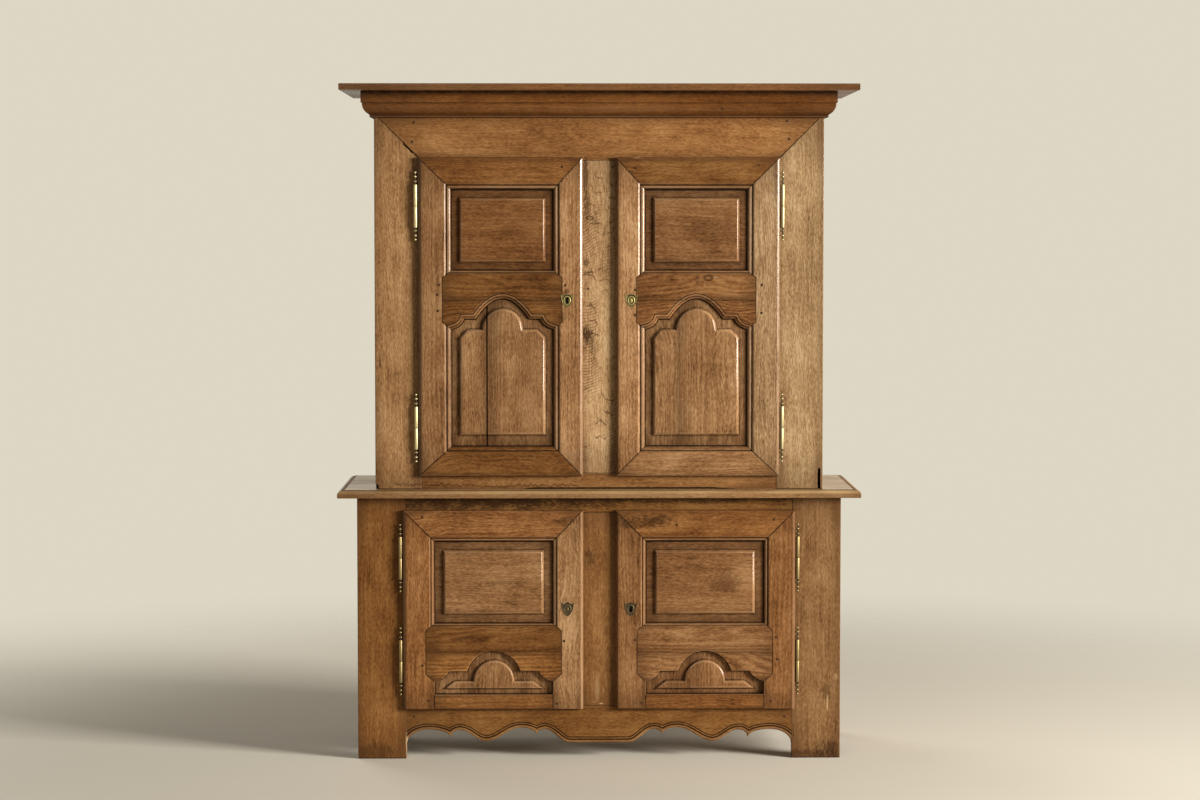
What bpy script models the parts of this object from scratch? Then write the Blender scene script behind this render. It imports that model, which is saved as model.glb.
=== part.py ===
"""A French provincial oak buffet in two bodies, with four framed doors on fiche hinges.

Metres, +Z up, the front towards -Y. The origin is on the floor, under the middle of the whole piece.
The base stands on its own front stiles and rear legs and carries the buffet top. The upper body rests
on that top by its weight, and the cornice rests on the upper body.
"""

import math

import bmesh
import bpy
from mathutils import Matrix, Vector

# Fits shared by the whole piece
CLEAR = 0.0003
PLAY = 0.002
CUT_PAST = 0.002
SHARP_OVER = 38

# Thickness of the wood
BODY_DEPTH = 0.490
FRAME_THICK = 0.030
SIDE_THICK = 0.026
BOARD_THICK = 0.018
BACK_THICK = 0.014
HOUSING = 0.007
TENON_THICK = 0.010
TENON_LONG = 0.055
TENON_SHOULDER = 0.012

# The base, which stands on the floor
BASE_WIDTH = 1.458
BASE_STILE_SHOWS = 0.138
BASE_CENTRE_SHOWS = 0.096
BASE_DOOR_BOTTOM = 0.152
BASE_DOOR_HEIGHT = 0.603
BASE_RAIL_SHOWS = 0.038
BASE_SHELF_UP = 0.300
SIDE_FOOT_CLEAR = 0.095
REAR_LEG_WIDE = 0.070

# The buffet top between the two bodies
TOP_THICK = 0.024
TOP_NOSE = 0.040
TOP_SIDE = 0.057
TOP_OVOLO_IN = 0.016
TOP_OVOLO_DOWN = 0.013

# The upper body
UPPER_WIDTH = 1.346
UPPER_STILE_SHOWS = 0.1315
UPPER_CENTRE_SHOWS = 0.0985
UPPER_DOOR_BOTTOM = 0.040
UPPER_DOOR_HEIGHT = 0.955
UPPER_RAIL_SHOWS = 0.119
UPPER_SHELF_UP = 0.430
ROOF_DOWN = 0.012

# The cornice
CAP_OVERHANG = 0.098
CAP_THICK = 0.020
CORNICE_HIGH = 0.077
CORNICE_SEAT = 0.022
CORNICE_FOOT_OUT = 0.010
CORNICE_FOOT_HIGH = 0.006
CORNICE_BODY_OUT = 0.037
CORNICE_OVOLO_TOP = 0.046
CORNICE_BULGE = 0.005

# Framed sides, sunk round a panel
SIDE_RAIL_WIDE = 0.110
SIDE_STILE_WIDE = 0.075
SIDE_PANEL_SUNK = 0.008
SIDE_PANEL_SLOPE = 0.012

# The scalloped lower edge of the apron: how far off each turn is, and its height. The first four count
# from the middle of the apron, the others from the foot beside it
APRON_FLAT_END = (0.0897, 0.0465)
APRON_INNER_LOBE = (0.1649, 0.088)
APRON_INNER_CUSP = (0.1900, 0.071)
APRON_MIDDLE_LOBE = (0.2383, 0.0925)
APRON_TROUGH = (0.2395, 0.051)
APRON_OUTER_LOBE = (0.1620, 0.0855)
APRON_OUTER_CUSP = (0.1329, 0.062)
APRON_END_LOBE = (0.0658, 0.087)
APRON_END = (0.0, 0.042)
WAVE_STEPS = 5

# Doors that lap over the frame
DOOR_PROUD = 0.016
DOOR_TONGUE = 0.012
DOOR_LAP = 0.010
DOOR_ROUND = 0.008
ROUND_STEPS = 3
UPPER_HINGE_STILE = 0.098
UPPER_LOCK_STILE = 0.088
UPPER_DOOR_TOP_RAIL = 0.096
UPPER_DOOR_MID_RAIL = 0.085
UPPER_DOOR_BOTTOM_RAIL = 0.090
UPPER_DOOR_TOP_OPENING = 0.241
BASE_HINGE_STILE = 0.094
BASE_LOCK_STILE = 0.092
BASE_DOOR_TOP_RAIL = 0.0945
BASE_DOOR_MID_RAIL = 0.084
BASE_DOOR_BOTTOM_RAIL = 0.0445
BASE_ARCH_SIDE = 0.040

# Moulded edge of the door openings
MOULD_WIDE = 0.016
MOULD_QUIRK = 0.002
MOULD_DEEP = 0.009
GROOVE_DEEP = 0.007
GROOVE_FRONT = 0.012
GROOVE_WIDE = 0.008

# Arched panels
ARCH_HALF = 0.080
ARCH_RISE = 0.061
CORNER_LOBE = 0.031
ARCH_STEPS = 12
LOBE_STEPS = 4
FIELD_MARGIN = 0.026
FIELD_BEVEL = 0.006
FIELD_SUNK = 0.004
FIELD_ARCH = 0.063
FIELD_SHOULDER_DROP = 0.029
UPPER_FIELD_FOOT = 0.032
UPPER_FIELD_CORNER = 0.025
BASE_FIELD_FOOT = 0.018
BASE_FIELD_SLOPE = 0.033

# Fiche hinges
HINGE_OUT = 0.008
HINGE_FRONT = 0.008
HINGE_END = 0.145
BARREL_RADIUS = 0.0063
BARREL_LONG = 0.129
BEAD_DISTANCES = (0.0090, 0.0235, 0.0358)
BEAD_RADII = (0.0056, 0.0043, 0.0036)
BEAD_HALF_HEIGHTS = (0.0032, 0.0040, 0.0040)
BEAD_END_ANGLE = 60
PIN_RADIUS = 0.0030
PIN_LONG = 0.040
BORE_RADIUS = 0.0034
LEAF_THICK = 0.0024
LEAF_HIGH = 0.046
LEAF_FROM_SPLIT = 0.010
LEAF_DEEP = 0.024
TURNED_SIDES = 10

# Escutcheons and locks
KEY_IN = 0.047
UPPER_KEY_UP = 0.528
BASE_KEY_UP = 0.304
PLATE_THICK = 0.0016
PLATE_WIDE = 0.038
PLATE_HIGH = 0.0435
SHIELD_HALF = ((0.0, -0.50), (0.45, -0.35), (0.80, -0.12), (0.95, 0.10), (1.0, 0.30), (0.97, 0.46),
               (0.62, 0.36), (0.38, 0.31), (0.20, 0.40), (0.0, 0.50))
KEYHOLE_UP = 0.005
KEYHOLE_RADIUS = 0.0034
KEYHOLE_SLOT = 0.0052
KEYHOLE_LONG = 0.0145
CASE_WIDE = 0.068
CASE_HIGH = 0.062
CASE_THICK = 0.0155
CASE_WALL = 0.0022
CASE_IN = 0.004
BOLT_LONG = 0.052
BOLT_HIGH = 0.018
BOLT_THICK = 0.008
BOLT_THROW = 0.012

# Places that follow from the sizes above
FACE_Y = (CAP_OVERHANG - BODY_DEPTH) / 2
BACK_Y = FACE_Y + BODY_DEPTH
BACK_BOARD_Y = BACK_Y - BACK_THICK
DOOR_FRONT_Y = FACE_Y - DOOR_PROUD
DOOR_BACK_Y = FACE_Y + DOOR_TONGUE
BEHIND_FRAME_Y = FACE_Y + FRAME_THICK + CLEAR
BASE_HEIGHT = BASE_DOOR_BOTTOM + BASE_DOOR_HEIGHT + BASE_RAIL_SHOWS
UPPER_HEIGHT = UPPER_DOOR_BOTTOM + UPPER_DOOR_HEIGHT + UPPER_RAIL_SHOWS
TOP_UNDER = BASE_HEIGHT + CLEAR
UPPER_FLOOR_Z = TOP_UNDER + TOP_THICK + CLEAR


class Cupboard:
    """The sizes that the base and the upper body each work out from their own driving dimensions."""

    def __init__(self, name, width, foot, top, stile_shows, centre_shows, door_bottom, door_height):
        self.name = name
        self.half = width / 2
        self.foot = foot
        self.top = top
        self.door_bottom = door_bottom
        self.door_top = door_bottom + door_height
        self.door_outer = self.half - stile_shows
        self.door_inner = centre_shows / 2
        self.door_width = self.door_outer - self.door_inner
        self.stile_inner = self.door_outer - DOOR_LAP + PLAY
        self.centre_half = self.door_inner + DOOR_LAP - PLAY
        self.rail_under = self.door_top - DOOR_LAP + PLAY
        self.sill = self.door_bottom + DOOR_LAP - PLAY


BASE = Cupboard("base", BASE_WIDTH, 0.0, BASE_HEIGHT, BASE_STILE_SHOWS, BASE_CENTRE_SHOWS,
                BASE_DOOR_BOTTOM, BASE_DOOR_HEIGHT)
UPPER = Cupboard("upper", UPPER_WIDTH, UPPER_FLOOR_Z, UPPER_FLOOR_Z + UPPER_HEIGHT, UPPER_STILE_SHOWS,
                 UPPER_CENTRE_SHOWS, UPPER_FLOOR_Z + UPPER_DOOR_BOTTOM, UPPER_DOOR_HEIGHT)
SIDES = {"left": -1, "right": 1}


def finish(name, colour, roughness, metallic=0.0):
    """One plain finish for a kind of wood or metal."""
    material = bpy.data.materials.new(name)
    material.use_nodes = True
    shader = material.node_tree.nodes["Principled BSDF"]
    shader.inputs["Base Color"].default_value = (*colour, 1.0)
    shader.inputs["Roughness"].default_value = roughness
    shader.inputs["Metallic"].default_value = metallic
    return material


def solid(name, rings, material=None):
    """A closed solid through a row of rings that have equally many points, with both ends capped."""
    shape = bmesh.new()
    loops = [[shape.verts.new(point) for point in ring] for ring in rings]
    for near, far in zip(loops, loops[1:]):
        for i in range(len(near)):
            shape.faces.new((near[i - 1], near[i], far[i], far[i - 1]))
    shape.faces.new(loops[0])
    shape.faces.new(loops[-1])
    bmesh.ops.recalc_face_normals(shape, faces=shape.faces)
    mesh = bpy.data.meshes.new(name)
    shape.to_mesh(mesh)
    shape.free()
    if material:
        mesh.materials.append(material)
    piece = bpy.data.objects.new(name, mesh)
    bpy.context.scene.collection.objects.link(piece)
    return piece


def block(name, low, high, material=None):
    """A squared board between two corners."""
    (x0, y0, z0), (x1, y1, z1) = low, high
    return solid(name, [[(x0, y0, z), (x1, y0, z), (x1, y1, z), (x0, y1, z)] for z in (z0, z1)], material)


def slab(name, outline, y0, y1, material=None):
    """A flat piece cut to an outline of (x, z) points, between two depths."""
    return solid(name, [[(x, y, z) for x, z in outline] for y in (y0, y1)], material)


def combine(piece, other, operation):
    """Cut the other solid out of a piece, or join it on, and take the other solid away."""
    modifier = piece.modifiers.new("shaping", "BOOLEAN")
    modifier.operation = operation
    modifier.object = other
    graph = bpy.context.evaluated_depsgraph_get()
    shaped = bpy.data.meshes.new_from_object(piece.evaluated_get(graph))
    piece.modifiers.clear()
    piece.data = shaped
    bpy.data.objects.remove(other)


def cut(piece, low, high):
    """A squared hole, housing or mortise."""
    combine(piece, block("cutter", low, high), "DIFFERENCE")


def tenon(rail, stile, low, high):
    """Join a tenon to a rail and sink its mortise, a little larger, into the stile."""
    combine(rail, block("tenon", low, high), "UNION")
    cut(stile, [v - CLEAR for v in low], [v + CLEAR for v in high])


def hang(piece, pivot):
    """Give a piece its pivot's place as origin and parent."""
    piece.data.transform(Matrix.Translation(-pivot.location))
    piece.parent = pivot


def smooth(piece):
    """Shade a turned or moulded piece smooth, with its sharp edges kept."""
    piece.data.shade_smooth()
    piece.data.set_sharp_from_angle(angle=math.radians(SHARP_OVER))


def arc(centre, radius, start, end, steps):
    """Points on part of a circle, both ends included, with angles in degrees."""
    angles = [math.radians(start + (end - start) * i / steps) for i in range(steps + 1)]
    return [(centre[0] + radius * math.cos(a), centre[1] + radius * math.sin(a)) for a in angles]


def grow(outline, distance):
    """An anticlockwise outline moved outwards by a distance, with its corners kept sharp."""
    points = [Vector(point) for point in outline]
    grown = []
    for i, here in enumerate(points):
        arriving = (here - points[i - 1]).normalized()
        leaving = (points[(i + 1) % len(points)] - here).normalized()
        out_before = Vector((arriving.y, -arriving.x))
        out_after = Vector((leaving.y, -leaving.x))
        moved = here + (out_before + out_after) * distance / (1 + out_before.dot(out_after))
        grown.append((moved.x, moved.y))
    return grown


def rectangle(left, right, bottom, top):
    return [(left, bottom), (right, bottom), (right, top), (left, top)]


def arched_opening(left, right, bottom, corner):
    """An opening whose top steps up over a lobe and a shoulder at each side to a round arch."""
    middle = (left + right) / 2
    shoulder = corner + CORNER_LOBE
    radius = (ARCH_HALF ** 2 + ARCH_RISE ** 2) / (2 * ARCH_RISE)
    spring = math.degrees(math.atan2(ARCH_HALF, radius - ARCH_RISE))
    outline = [(left, bottom), (right, bottom)]
    outline += arc((right, shoulder), CORNER_LOBE, 270, 180, LOBE_STEPS)
    outline += arc((middle, shoulder + ARCH_RISE - radius), radius, 90 - spring, 90 + spring, ARCH_STEPS)
    outline += arc((left, shoulder), CORNER_LOBE, 0, -90, LOBE_STEPS)
    return outline


def arched_field(left, right, bottom, shoulder, run, side):
    """The raised field under an arch: sloped corners, shoulders and a half round."""
    middle = (left + right) / 2
    outline = [(left, bottom), (right, bottom)]
    if side:
        outline.append((right, bottom + side))
    outline.append((right - run, shoulder))
    outline += arc((middle, shoulder), FIELD_ARCH, 0, 180, ARCH_STEPS)
    outline.append((left + run, shoulder))
    if side:
        outline.append((left, bottom + side))
    return outline


def front_frame(cupboard, oak):
    """The two front stiles, the top rail and the centre stile of one body, all but its lower rail."""
    stiles = {}
    mitred = cupboard is UPPER
    tenon_y = FACE_Y + (FRAME_THICK - TENON_THICK) / 2
    for hand, side in SIDES.items():
        inner = side * cupboard.stile_inner
        outer = side * cupboard.half
        outline = [(outer, cupboard.foot), (inner, cupboard.foot)]
        if mitred:
            rise = cupboard.top - cupboard.rail_under
            outline += [(inner, cupboard.rail_under), (inner + side * rise, cupboard.top)]
        else:
            outline.append((inner, cupboard.top))
        outline.append((outer, cupboard.top))
        stiles[hand] = slab(f"{cupboard.name}_stile_{hand}", outline, FACE_Y, FACE_Y + FRAME_THICK, oak)

    end = cupboard.stile_inner - CLEAR
    slope = cupboard.top - cupboard.rail_under if mitred else 0.0
    outline = [(-end, cupboard.rail_under), (end, cupboard.rail_under),
               (end + slope, cupboard.top), (-end - slope, cupboard.top)]
    top_rail = slab(f"{cupboard.name}_top_rail", outline, FACE_Y, FACE_Y + FRAME_THICK, oak)
    rail_foot = cupboard.rail_under + TENON_SHOULDER
    rail_head = cupboard.top - TENON_SHOULDER - slope / 2
    for hand, side in SIDES.items():
        ends = sorted((side * (end - TENON_SHOULDER), side * (end + TENON_LONG + slope / 2)))
        tenon(top_rail, stiles[hand], (ends[0], tenon_y, rail_foot),
              (ends[1], tenon_y + TENON_THICK, rail_head))

    low = (-cupboard.centre_half, FACE_Y, cupboard.sill + CLEAR)
    high = (cupboard.centre_half, FACE_Y + FRAME_THICK, cupboard.rail_under - CLEAR)
    centre = block(f"{cupboard.name}_centre_stile", low, high, oak)
    wide = cupboard.centre_half - TENON_SHOULDER
    depth = min(TENON_LONG, cupboard.top - cupboard.rail_under - TENON_SHOULDER) / 2
    tenon(centre, top_rail, (-wide, tenon_y, cupboard.rail_under - TENON_SHOULDER),
          (wide, tenon_y + TENON_THICK, cupboard.rail_under + depth))
    return stiles, centre


def lower_rail_tenons(cupboard, rail, rail_foot, stiles, centre):
    """Tenons that join the lower rail to both stiles and the centre stile to that rail."""
    tenon_y = FACE_Y + (FRAME_THICK - TENON_THICK) / 2
    end = cupboard.stile_inner - CLEAR
    for hand, side in SIDES.items():
        ends = sorted((side * (end - TENON_SHOULDER), side * (end + TENON_LONG)))
        tenon(rail, stiles[hand], (ends[0], tenon_y, rail_foot + TENON_SHOULDER),
              (ends[1], tenon_y + TENON_THICK, cupboard.sill - TENON_SHOULDER))
    wide = cupboard.centre_half - TENON_SHOULDER
    tenon(centre, rail, (-wide, tenon_y, (rail_foot + cupboard.sill) / 2),
          (wide, tenon_y + TENON_THICK, cupboard.sill + TENON_SHOULDER))


def quarter(start, end, steps, steep_first):
    """A quarter of an ellipse between two points: flat at the lobe's top and steep at the cusp."""
    points = []
    for i in range(1, steps + 1):
        angle = math.pi / 2 * i / steps
        along = 1 - math.cos(angle) if steep_first else math.sin(angle)
        up = math.sin(angle) if steep_first else 1 - math.cos(angle)
        points.append((start[0] + (end[0] - start[0]) * along, start[1] + (end[1] - start[1]) * up))
    return points


def wave(start, end, steps):
    """An easy S curve that is level at both of its ends."""
    points = []
    for i in range(1, steps + 1):
        share = i / steps
        eased = (1 - math.cos(math.pi * share)) / 2
        points.append((start[0] + (end[0] - start[0]) * share, start[1] + (end[1] - start[1]) * eased))
    return points


def apron(oak):
    """The shaped lower rail of the base: waves and cusped lobes, alike on both sides of the middle."""
    half = BASE.stile_inner - CLEAR
    outer_turns = (APRON_TROUGH, APRON_OUTER_LOBE, APRON_OUTER_CUSP, APRON_END_LOBE, APRON_END)
    trough, outer_lobe, outer_cusp, end_lobe, end = [(half - away, z) for away, z in outer_turns]
    edge = [APRON_FLAT_END]
    edge += wave(APRON_FLAT_END, APRON_INNER_LOBE, WAVE_STEPS)
    edge += quarter(APRON_INNER_LOBE, APRON_INNER_CUSP, WAVE_STEPS, False)
    edge += quarter(APRON_INNER_CUSP, APRON_MIDDLE_LOBE, WAVE_STEPS, True)
    edge += wave(APRON_MIDDLE_LOBE, trough, WAVE_STEPS)
    edge += wave(trough, outer_lobe, WAVE_STEPS)
    edge += quarter(outer_lobe, outer_cusp, WAVE_STEPS, False)
    edge += quarter(outer_cusp, end_lobe, WAVE_STEPS, True)
    edge += quarter(end_lobe, end, WAVE_STEPS, False)
    outline = [(-x, z) for x, z in reversed(edge)] + edge + [(half, BASE.sill), (-half, BASE.sill)]
    return slab("base_apron", outline, FACE_Y, FACE_Y + FRAME_THICK, oak)


def side_wall(cupboard, hand, oak):
    """One framed side with its sunk panel, and on the base the rear leg that runs to the floor."""
    side = SIDES[hand]
    outer = side * cupboard.half
    inner = side * (cupboard.half - SIDE_THICK)
    front = BEHIND_FRAME_Y
    leg = BACK_Y - REAR_LEG_WIDE
    under = cupboard.foot
    if cupboard is BASE:
        under = cupboard.foot + SIDE_FOOT_CLEAR
        outline = [(front, under), (leg, under), (leg, cupboard.foot), (BACK_Y, cupboard.foot)]
    else:
        outline = [(front, under), (BACK_Y, under)]
    outline += [(BACK_Y, cupboard.top), (front, cupboard.top)]
    faces = [[(x, y, z) for y, z in outline] for x in (inner, outer)]
    wall = solid(f"{cupboard.name}_side_{hand}", faces, oak)
    sunk = rectangle(front + SIDE_STILE_WIDE - FRAME_THICK, BACK_Y - SIDE_STILE_WIDE,
                     under + SIDE_RAIL_WIDE, cupboard.top - SIDE_RAIL_WIDE)
    layers = [(0.0, CUT_PAST), (0.0, 0.0), (-SIDE_PANEL_SLOPE, -SIDE_PANEL_SUNK)]
    rings = [[(outer + side * out, y, z) for y, z in grow(sunk, inset)] for inset, out in layers]
    combine(wall, solid("sinking", rings), "DIFFERENCE")
    return wall


def house(walls, cupboard, name, under, front, material):
    """A board let into housings in both side walls, between the front frame and the back boards."""
    reach = cupboard.half - SIDE_THICK + HOUSING
    back = BACK_BOARD_Y - CLEAR
    board = block(name, (-reach, front, under), (reach, back, under + BOARD_THICK), material)
    for hand, side in SIDES.items():
        ends = sorted((side * (reach - 2 * HOUSING), side * (reach + CLEAR)))
        cut(walls[hand], (ends[0], front - CLEAR, under - CLEAR),
            (ends[1], back + CLEAR, under + BOARD_THICK + CLEAR))
    return board


def back_boards(cupboard, under, top, material):
    """The back, set between the two side walls. On the upper body it also closes the cornice."""
    reach = cupboard.half - SIDE_THICK - CLEAR
    return block(f"{cupboard.name}_back", (-reach, BACK_BOARD_Y, under), (reach, BACK_Y, top), material)


def buffet_top(oak):
    """The top of the base, with an ovolo worked along its front and both ends."""
    layers = [(0.0, 0.0), (0.0, TOP_THICK - TOP_OVOLO_DOWN)]
    for i in range(1, ROUND_STEPS + 1):
        angle = math.pi / 2 * i / ROUND_STEPS
        layers.append((TOP_OVOLO_IN * (1 - math.cos(angle)),
                       TOP_THICK - TOP_OVOLO_DOWN + TOP_OVOLO_DOWN * math.sin(angle)))
    rings = []
    for inset, up in layers:
        reach = BASE.half + TOP_SIDE - inset
        front = FACE_Y - TOP_NOSE + inset
        z = TOP_UNDER + up
        rings.append([(-reach, front, z), (reach, front, z), (reach, BACK_Y, z), (-reach, BACK_Y, z)])
    return solid("buffet_top", rings, oak)


def cornice(oak):
    """The cornice moulding, mitred round the front and both sides, and the cap board over it."""
    foot = UPPER.top + CLEAR
    profile = [(-CORNICE_SEAT, 0.0), (CORNICE_FOOT_OUT, 0.0)]
    run = Vector((CORNICE_BODY_OUT - CORNICE_FOOT_OUT, CORNICE_OVOLO_TOP - CORNICE_FOOT_HIGH))
    bulge = Vector((run.y, -run.x)).normalized() * CORNICE_BULGE
    for i in range(WAVE_STEPS + 1):
        share = i / WAVE_STEPS
        point = Vector((CORNICE_FOOT_OUT, CORNICE_FOOT_HIGH)) + run * share + bulge * 4 * share * (1 - share)
        profile.append((point.x, point.y))
    profile += [(CORNICE_BODY_OUT, CORNICE_HIGH), (-CORNICE_SEAT, CORNICE_HIGH)]
    rings = []
    for side, at_back in ((-1, True), (-1, False), (1, False), (1, True)):
        rings.append([(side * (UPPER.half + out), BACK_Y if at_back else FACE_Y - out, foot + up)
                      for out, up in profile])
    solid("cornice_moulding", rings, oak)
    reach = UPPER.half + CAP_OVERHANG
    under = foot + CORNICE_HIGH + CLEAR
    block("cornice_cap", (-reach, FACE_Y - CAP_OVERHANG, under), (reach, BACK_Y, under + CAP_THICK), oak)


class DoorPlan:
    """One door laid out across from its hinge edge and up from the floor."""

    def __init__(self, cupboard):
        self.bottom = cupboard.door_bottom
        self.top = cupboard.door_top
        self.width = cupboard.door_width
        arch_high = CORNER_LOBE + ARCH_RISE
        if cupboard is UPPER:
            self.left = UPPER_HINGE_STILE
            self.right = self.width - UPPER_LOCK_STILE
            self.panel_top = self.top - UPPER_DOOR_TOP_RAIL
            self.panel_foot = self.panel_top - UPPER_DOOR_TOP_OPENING
            self.arch_foot = self.bottom + UPPER_DOOR_BOTTOM_RAIL
            self.arch_corner = self.panel_foot - UPPER_DOOR_MID_RAIL - arch_high
        else:
            self.left = BASE_HINGE_STILE
            self.right = self.width - BASE_LOCK_STILE
            self.panel_top = self.top - BASE_DOOR_TOP_RAIL
            self.arch_foot = self.bottom + BASE_DOOR_BOTTOM_RAIL
            self.arch_corner = self.arch_foot + BASE_ARCH_SIDE
            self.panel_foot = self.arch_corner + arch_high + BASE_DOOR_MID_RAIL
        self.edge = rectangle(0.0, self.width, self.bottom, self.top)
        self.panel = rectangle(self.left, self.right, self.panel_foot, self.panel_top)
        self.arched = arched_opening(self.left, self.right, self.arch_foot, self.arch_corner)
        self.field = grow(self.panel, -FIELD_MARGIN)
        shoulder = self.arch_corner + CORNER_LOBE - FIELD_SHOULDER_DROP
        if cupboard is UPPER:
            foot = self.arch_foot + UPPER_FIELD_FOOT
            run = UPPER_FIELD_CORNER
            upright = shoulder - UPPER_FIELD_CORNER - foot
        else:
            foot = self.arch_foot + BASE_FIELD_FOOT
            run = BASE_FIELD_SLOPE
            upright = 0.0
        self.arched_field = arched_field(self.left + FIELD_MARGIN, self.right - FIELD_MARGIN, foot, shoulder,
                                         run, upright)


def door(cupboard, hand, finishes):
    """A pegged door frame and its two captive panels, hung on an upright pivot."""
    side = SIDES[hand]
    name = f"{cupboard.name}_door_{hand}"
    plan = DoorPlan(cupboard)
    pivot = bpy.data.objects.new(f"{name}_pivot", None)
    pivot.location = (side * (cupboard.door_outer + HINGE_OUT), FACE_Y - HINGE_FRONT, cupboard.door_bottom)
    bpy.context.scene.collection.objects.link(pivot)

    def through(piece_name, outline, layers, material=None):
        rings = []
        for out, y in layers:
            rings.append([(side * (cupboard.door_outer - u), y, z) for u, z in grow(outline, out)])
        return solid(piece_name, rings, material)

    layers = [(-DOOR_LAP, DOOR_BACK_Y), (-DOOR_LAP, FACE_Y - CLEAR), (0.0, FACE_Y - CLEAR)]
    for i in range(ROUND_STEPS + 1):
        angle = math.pi / 2 * i / ROUND_STEPS
        inset = DOOR_ROUND * (1 - math.cos(angle))
        layers.append((-inset, DOOR_FRONT_Y + DOOR_ROUND * (1 - math.sin(angle))))
    frame = through(f"{name}_frame", plan.edge, layers, finishes["oak"])

    groove_front = DOOR_FRONT_Y + GROOVE_FRONT
    groove_back = groove_front + GROOVE_WIDE
    groove = [(0.0, groove_front), (GROOVE_DEEP + CLEAR, groove_front),
              (GROOVE_DEEP + CLEAR, groove_back), (0.0, groove_back), (0.0, DOOR_BACK_Y + CUT_PAST)]
    moulded = [(MOULD_WIDE, DOOR_FRONT_Y - CUT_PAST)]
    for i in range(ROUND_STEPS + 1):
        angle = math.pi / 2 * i / ROUND_STEPS
        moulded.append((MOULD_WIDE * (1 - math.sin(angle)),
                        DOOR_FRONT_Y + MOULD_QUIRK + (MOULD_DEEP - MOULD_QUIRK) * (1 - math.cos(angle))))
    plain = [(0.0, DOOR_FRONT_Y - CUT_PAST)]
    arch_edge = moulded if cupboard is UPPER else plain
    combine(frame, through("opening", plan.panel, moulded + groove), "DIFFERENCE")
    combine(frame, through("opening", plan.arched, arch_edge + groove), "DIFFERENCE")
    hang(frame, pivot)
    smooth(frame)

    tongue = [(GROOVE_DEEP, groove_back - CLEAR), (GROOVE_DEEP, groove_front + CLEAR)]
    raised = [(0.0, groove_front + GROOVE_WIDE / 2), (0.0, groove_front),
              (-FIELD_BEVEL, DOOR_FRONT_Y + FIELD_SUNK)]
    panels = {"upper": (plan.panel, plan.field), "lower": (plan.arched, plan.arched_field)}
    for place, (opening, field) in panels.items():
        panel = through(f"{name}_{place}_panel", opening, tongue, finishes["panel"])
        combine(panel, through("field", field, raised), "UNION")
        hang(panel, pivot)
    return frame, pivot


def turned(name, x, y, profile, material):
    """A piece turned about an upright axis, from rings of (radius, height)."""
    rings = []
    for radius, z in profile:
        rings.append([(x + px, y + py, z) for px, py in arc((0, 0), radius, 0, 360, TURNED_SIDES)[:-1]])
    return solid(name, rings, material)


def finial(way, start):
    """A collar and two beads on a thin stem, each smaller than the last, out from a hinge barrel's end."""
    profile = []
    for distance, radius, half_high in zip(BEAD_DISTANCES, BEAD_RADII, BEAD_HALF_HEIGHTS):
        for angle in (-BEAD_END_ANGLE, 0, BEAD_END_ANGLE):
            turn = math.radians(angle)
            profile.append((radius * math.cos(turn), start + way * (distance + half_high * math.sin(turn))))
    stem = profile[0][0]
    return [(stem, start)] + profile


def hinge(cupboard, hand, place, z, parts, brass):
    """A fiche hinge: the half with the pin is let into the stile, the half with the bore into the door."""
    side = SIDES[hand]
    stile, frame, pivot = parts
    x, y = pivot.location.x, pivot.location.y
    name = f"{cupboard.name}_{hand}_{place}_hinge"
    half_long = BARREL_LONG / 2
    root = (BORE_RADIUS + BARREL_RADIUS) / 2
    leaf = LEAF_THICK / 2
    slot = leaf + CLEAR

    lower = list(reversed(finial(-1, z - half_long)))
    lower += [(BARREL_RADIUS, z - half_long), (BARREL_RADIUS, z - CLEAR), (PIN_RADIUS, z - CLEAR),
              (PIN_RADIUS, z + PIN_LONG)]
    pin_half = turned(f"{name}_pin_half", x, y, lower, brass)
    leaf_top = z - LEAF_FROM_SPLIT
    leaf_foot = leaf_top - LEAF_HIGH
    leaf_end = FACE_Y + LEAF_DEEP
    combine(pin_half, block("leaf", (x - leaf, y + root, leaf_foot), (x + leaf, leaf_end, leaf_top)), "UNION")
    cut(stile, (x - slot, FACE_Y - CUT_PAST, leaf_foot - CLEAR),
        (x + slot, leaf_end + CLEAR, leaf_top + CLEAR))
    smooth(pin_half)

    upper = [(BORE_RADIUS, z + PIN_LONG + CLEAR), (BORE_RADIUS, z + CLEAR), (BARREL_RADIUS, z + CLEAR),
             (BARREL_RADIUS, z + half_long)]
    upper += finial(1, z + half_long)
    door_half = turned(f"{name}_door_half", x, y, upper, brass)
    leaf_foot = z + LEAF_FROM_SPLIT
    leaf_top = leaf_foot + LEAF_HIGH
    ends = sorted((x - side * root, x - side * (HINGE_OUT + LEAF_DEEP)))
    combine(door_half, block("leaf", (ends[0], y - leaf, leaf_foot), (ends[1], y + leaf, leaf_top)), "UNION")
    hang(door_half, pivot)
    smooth(door_half)
    mortise = sorted((x - side * (HINGE_OUT - CUT_PAST), x - side * (HINGE_OUT + LEAF_DEEP + CLEAR)))
    cut(frame, (mortise[0], y - slot, leaf_foot - CLEAR), (mortise[1], y + slot, leaf_top + CLEAR))


def keyhole(x, plate_z, y0, y1):
    """A round eye over a narrow slot, through a plate and a door stile."""
    z = plate_z + KEYHOLE_UP
    half_slot = KEYHOLE_SLOT / 2
    start = math.degrees(math.asin(half_slot / KEYHOLE_RADIUS)) - 90
    outline = arc((x, z), KEYHOLE_RADIUS, start, 180 - start, TURNED_SIDES)
    outline += [(x - half_slot, z - KEYHOLE_LONG), (x + half_slot, z - KEYHOLE_LONG)]
    return slab("keyhole", outline, y0, y1)


def shield(x, z):
    """The outline of an escutcheon: two horns and a crown over a shield that narrows to its foot."""
    right = [(u * PLATE_WIDE / 2, v * PLATE_HIGH) for u, v in SHIELD_HALF]
    left = [(-u, v) for u, v in reversed(right[1:-1])]
    return [(x + u, z + v) for u, v in right + left]


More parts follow.
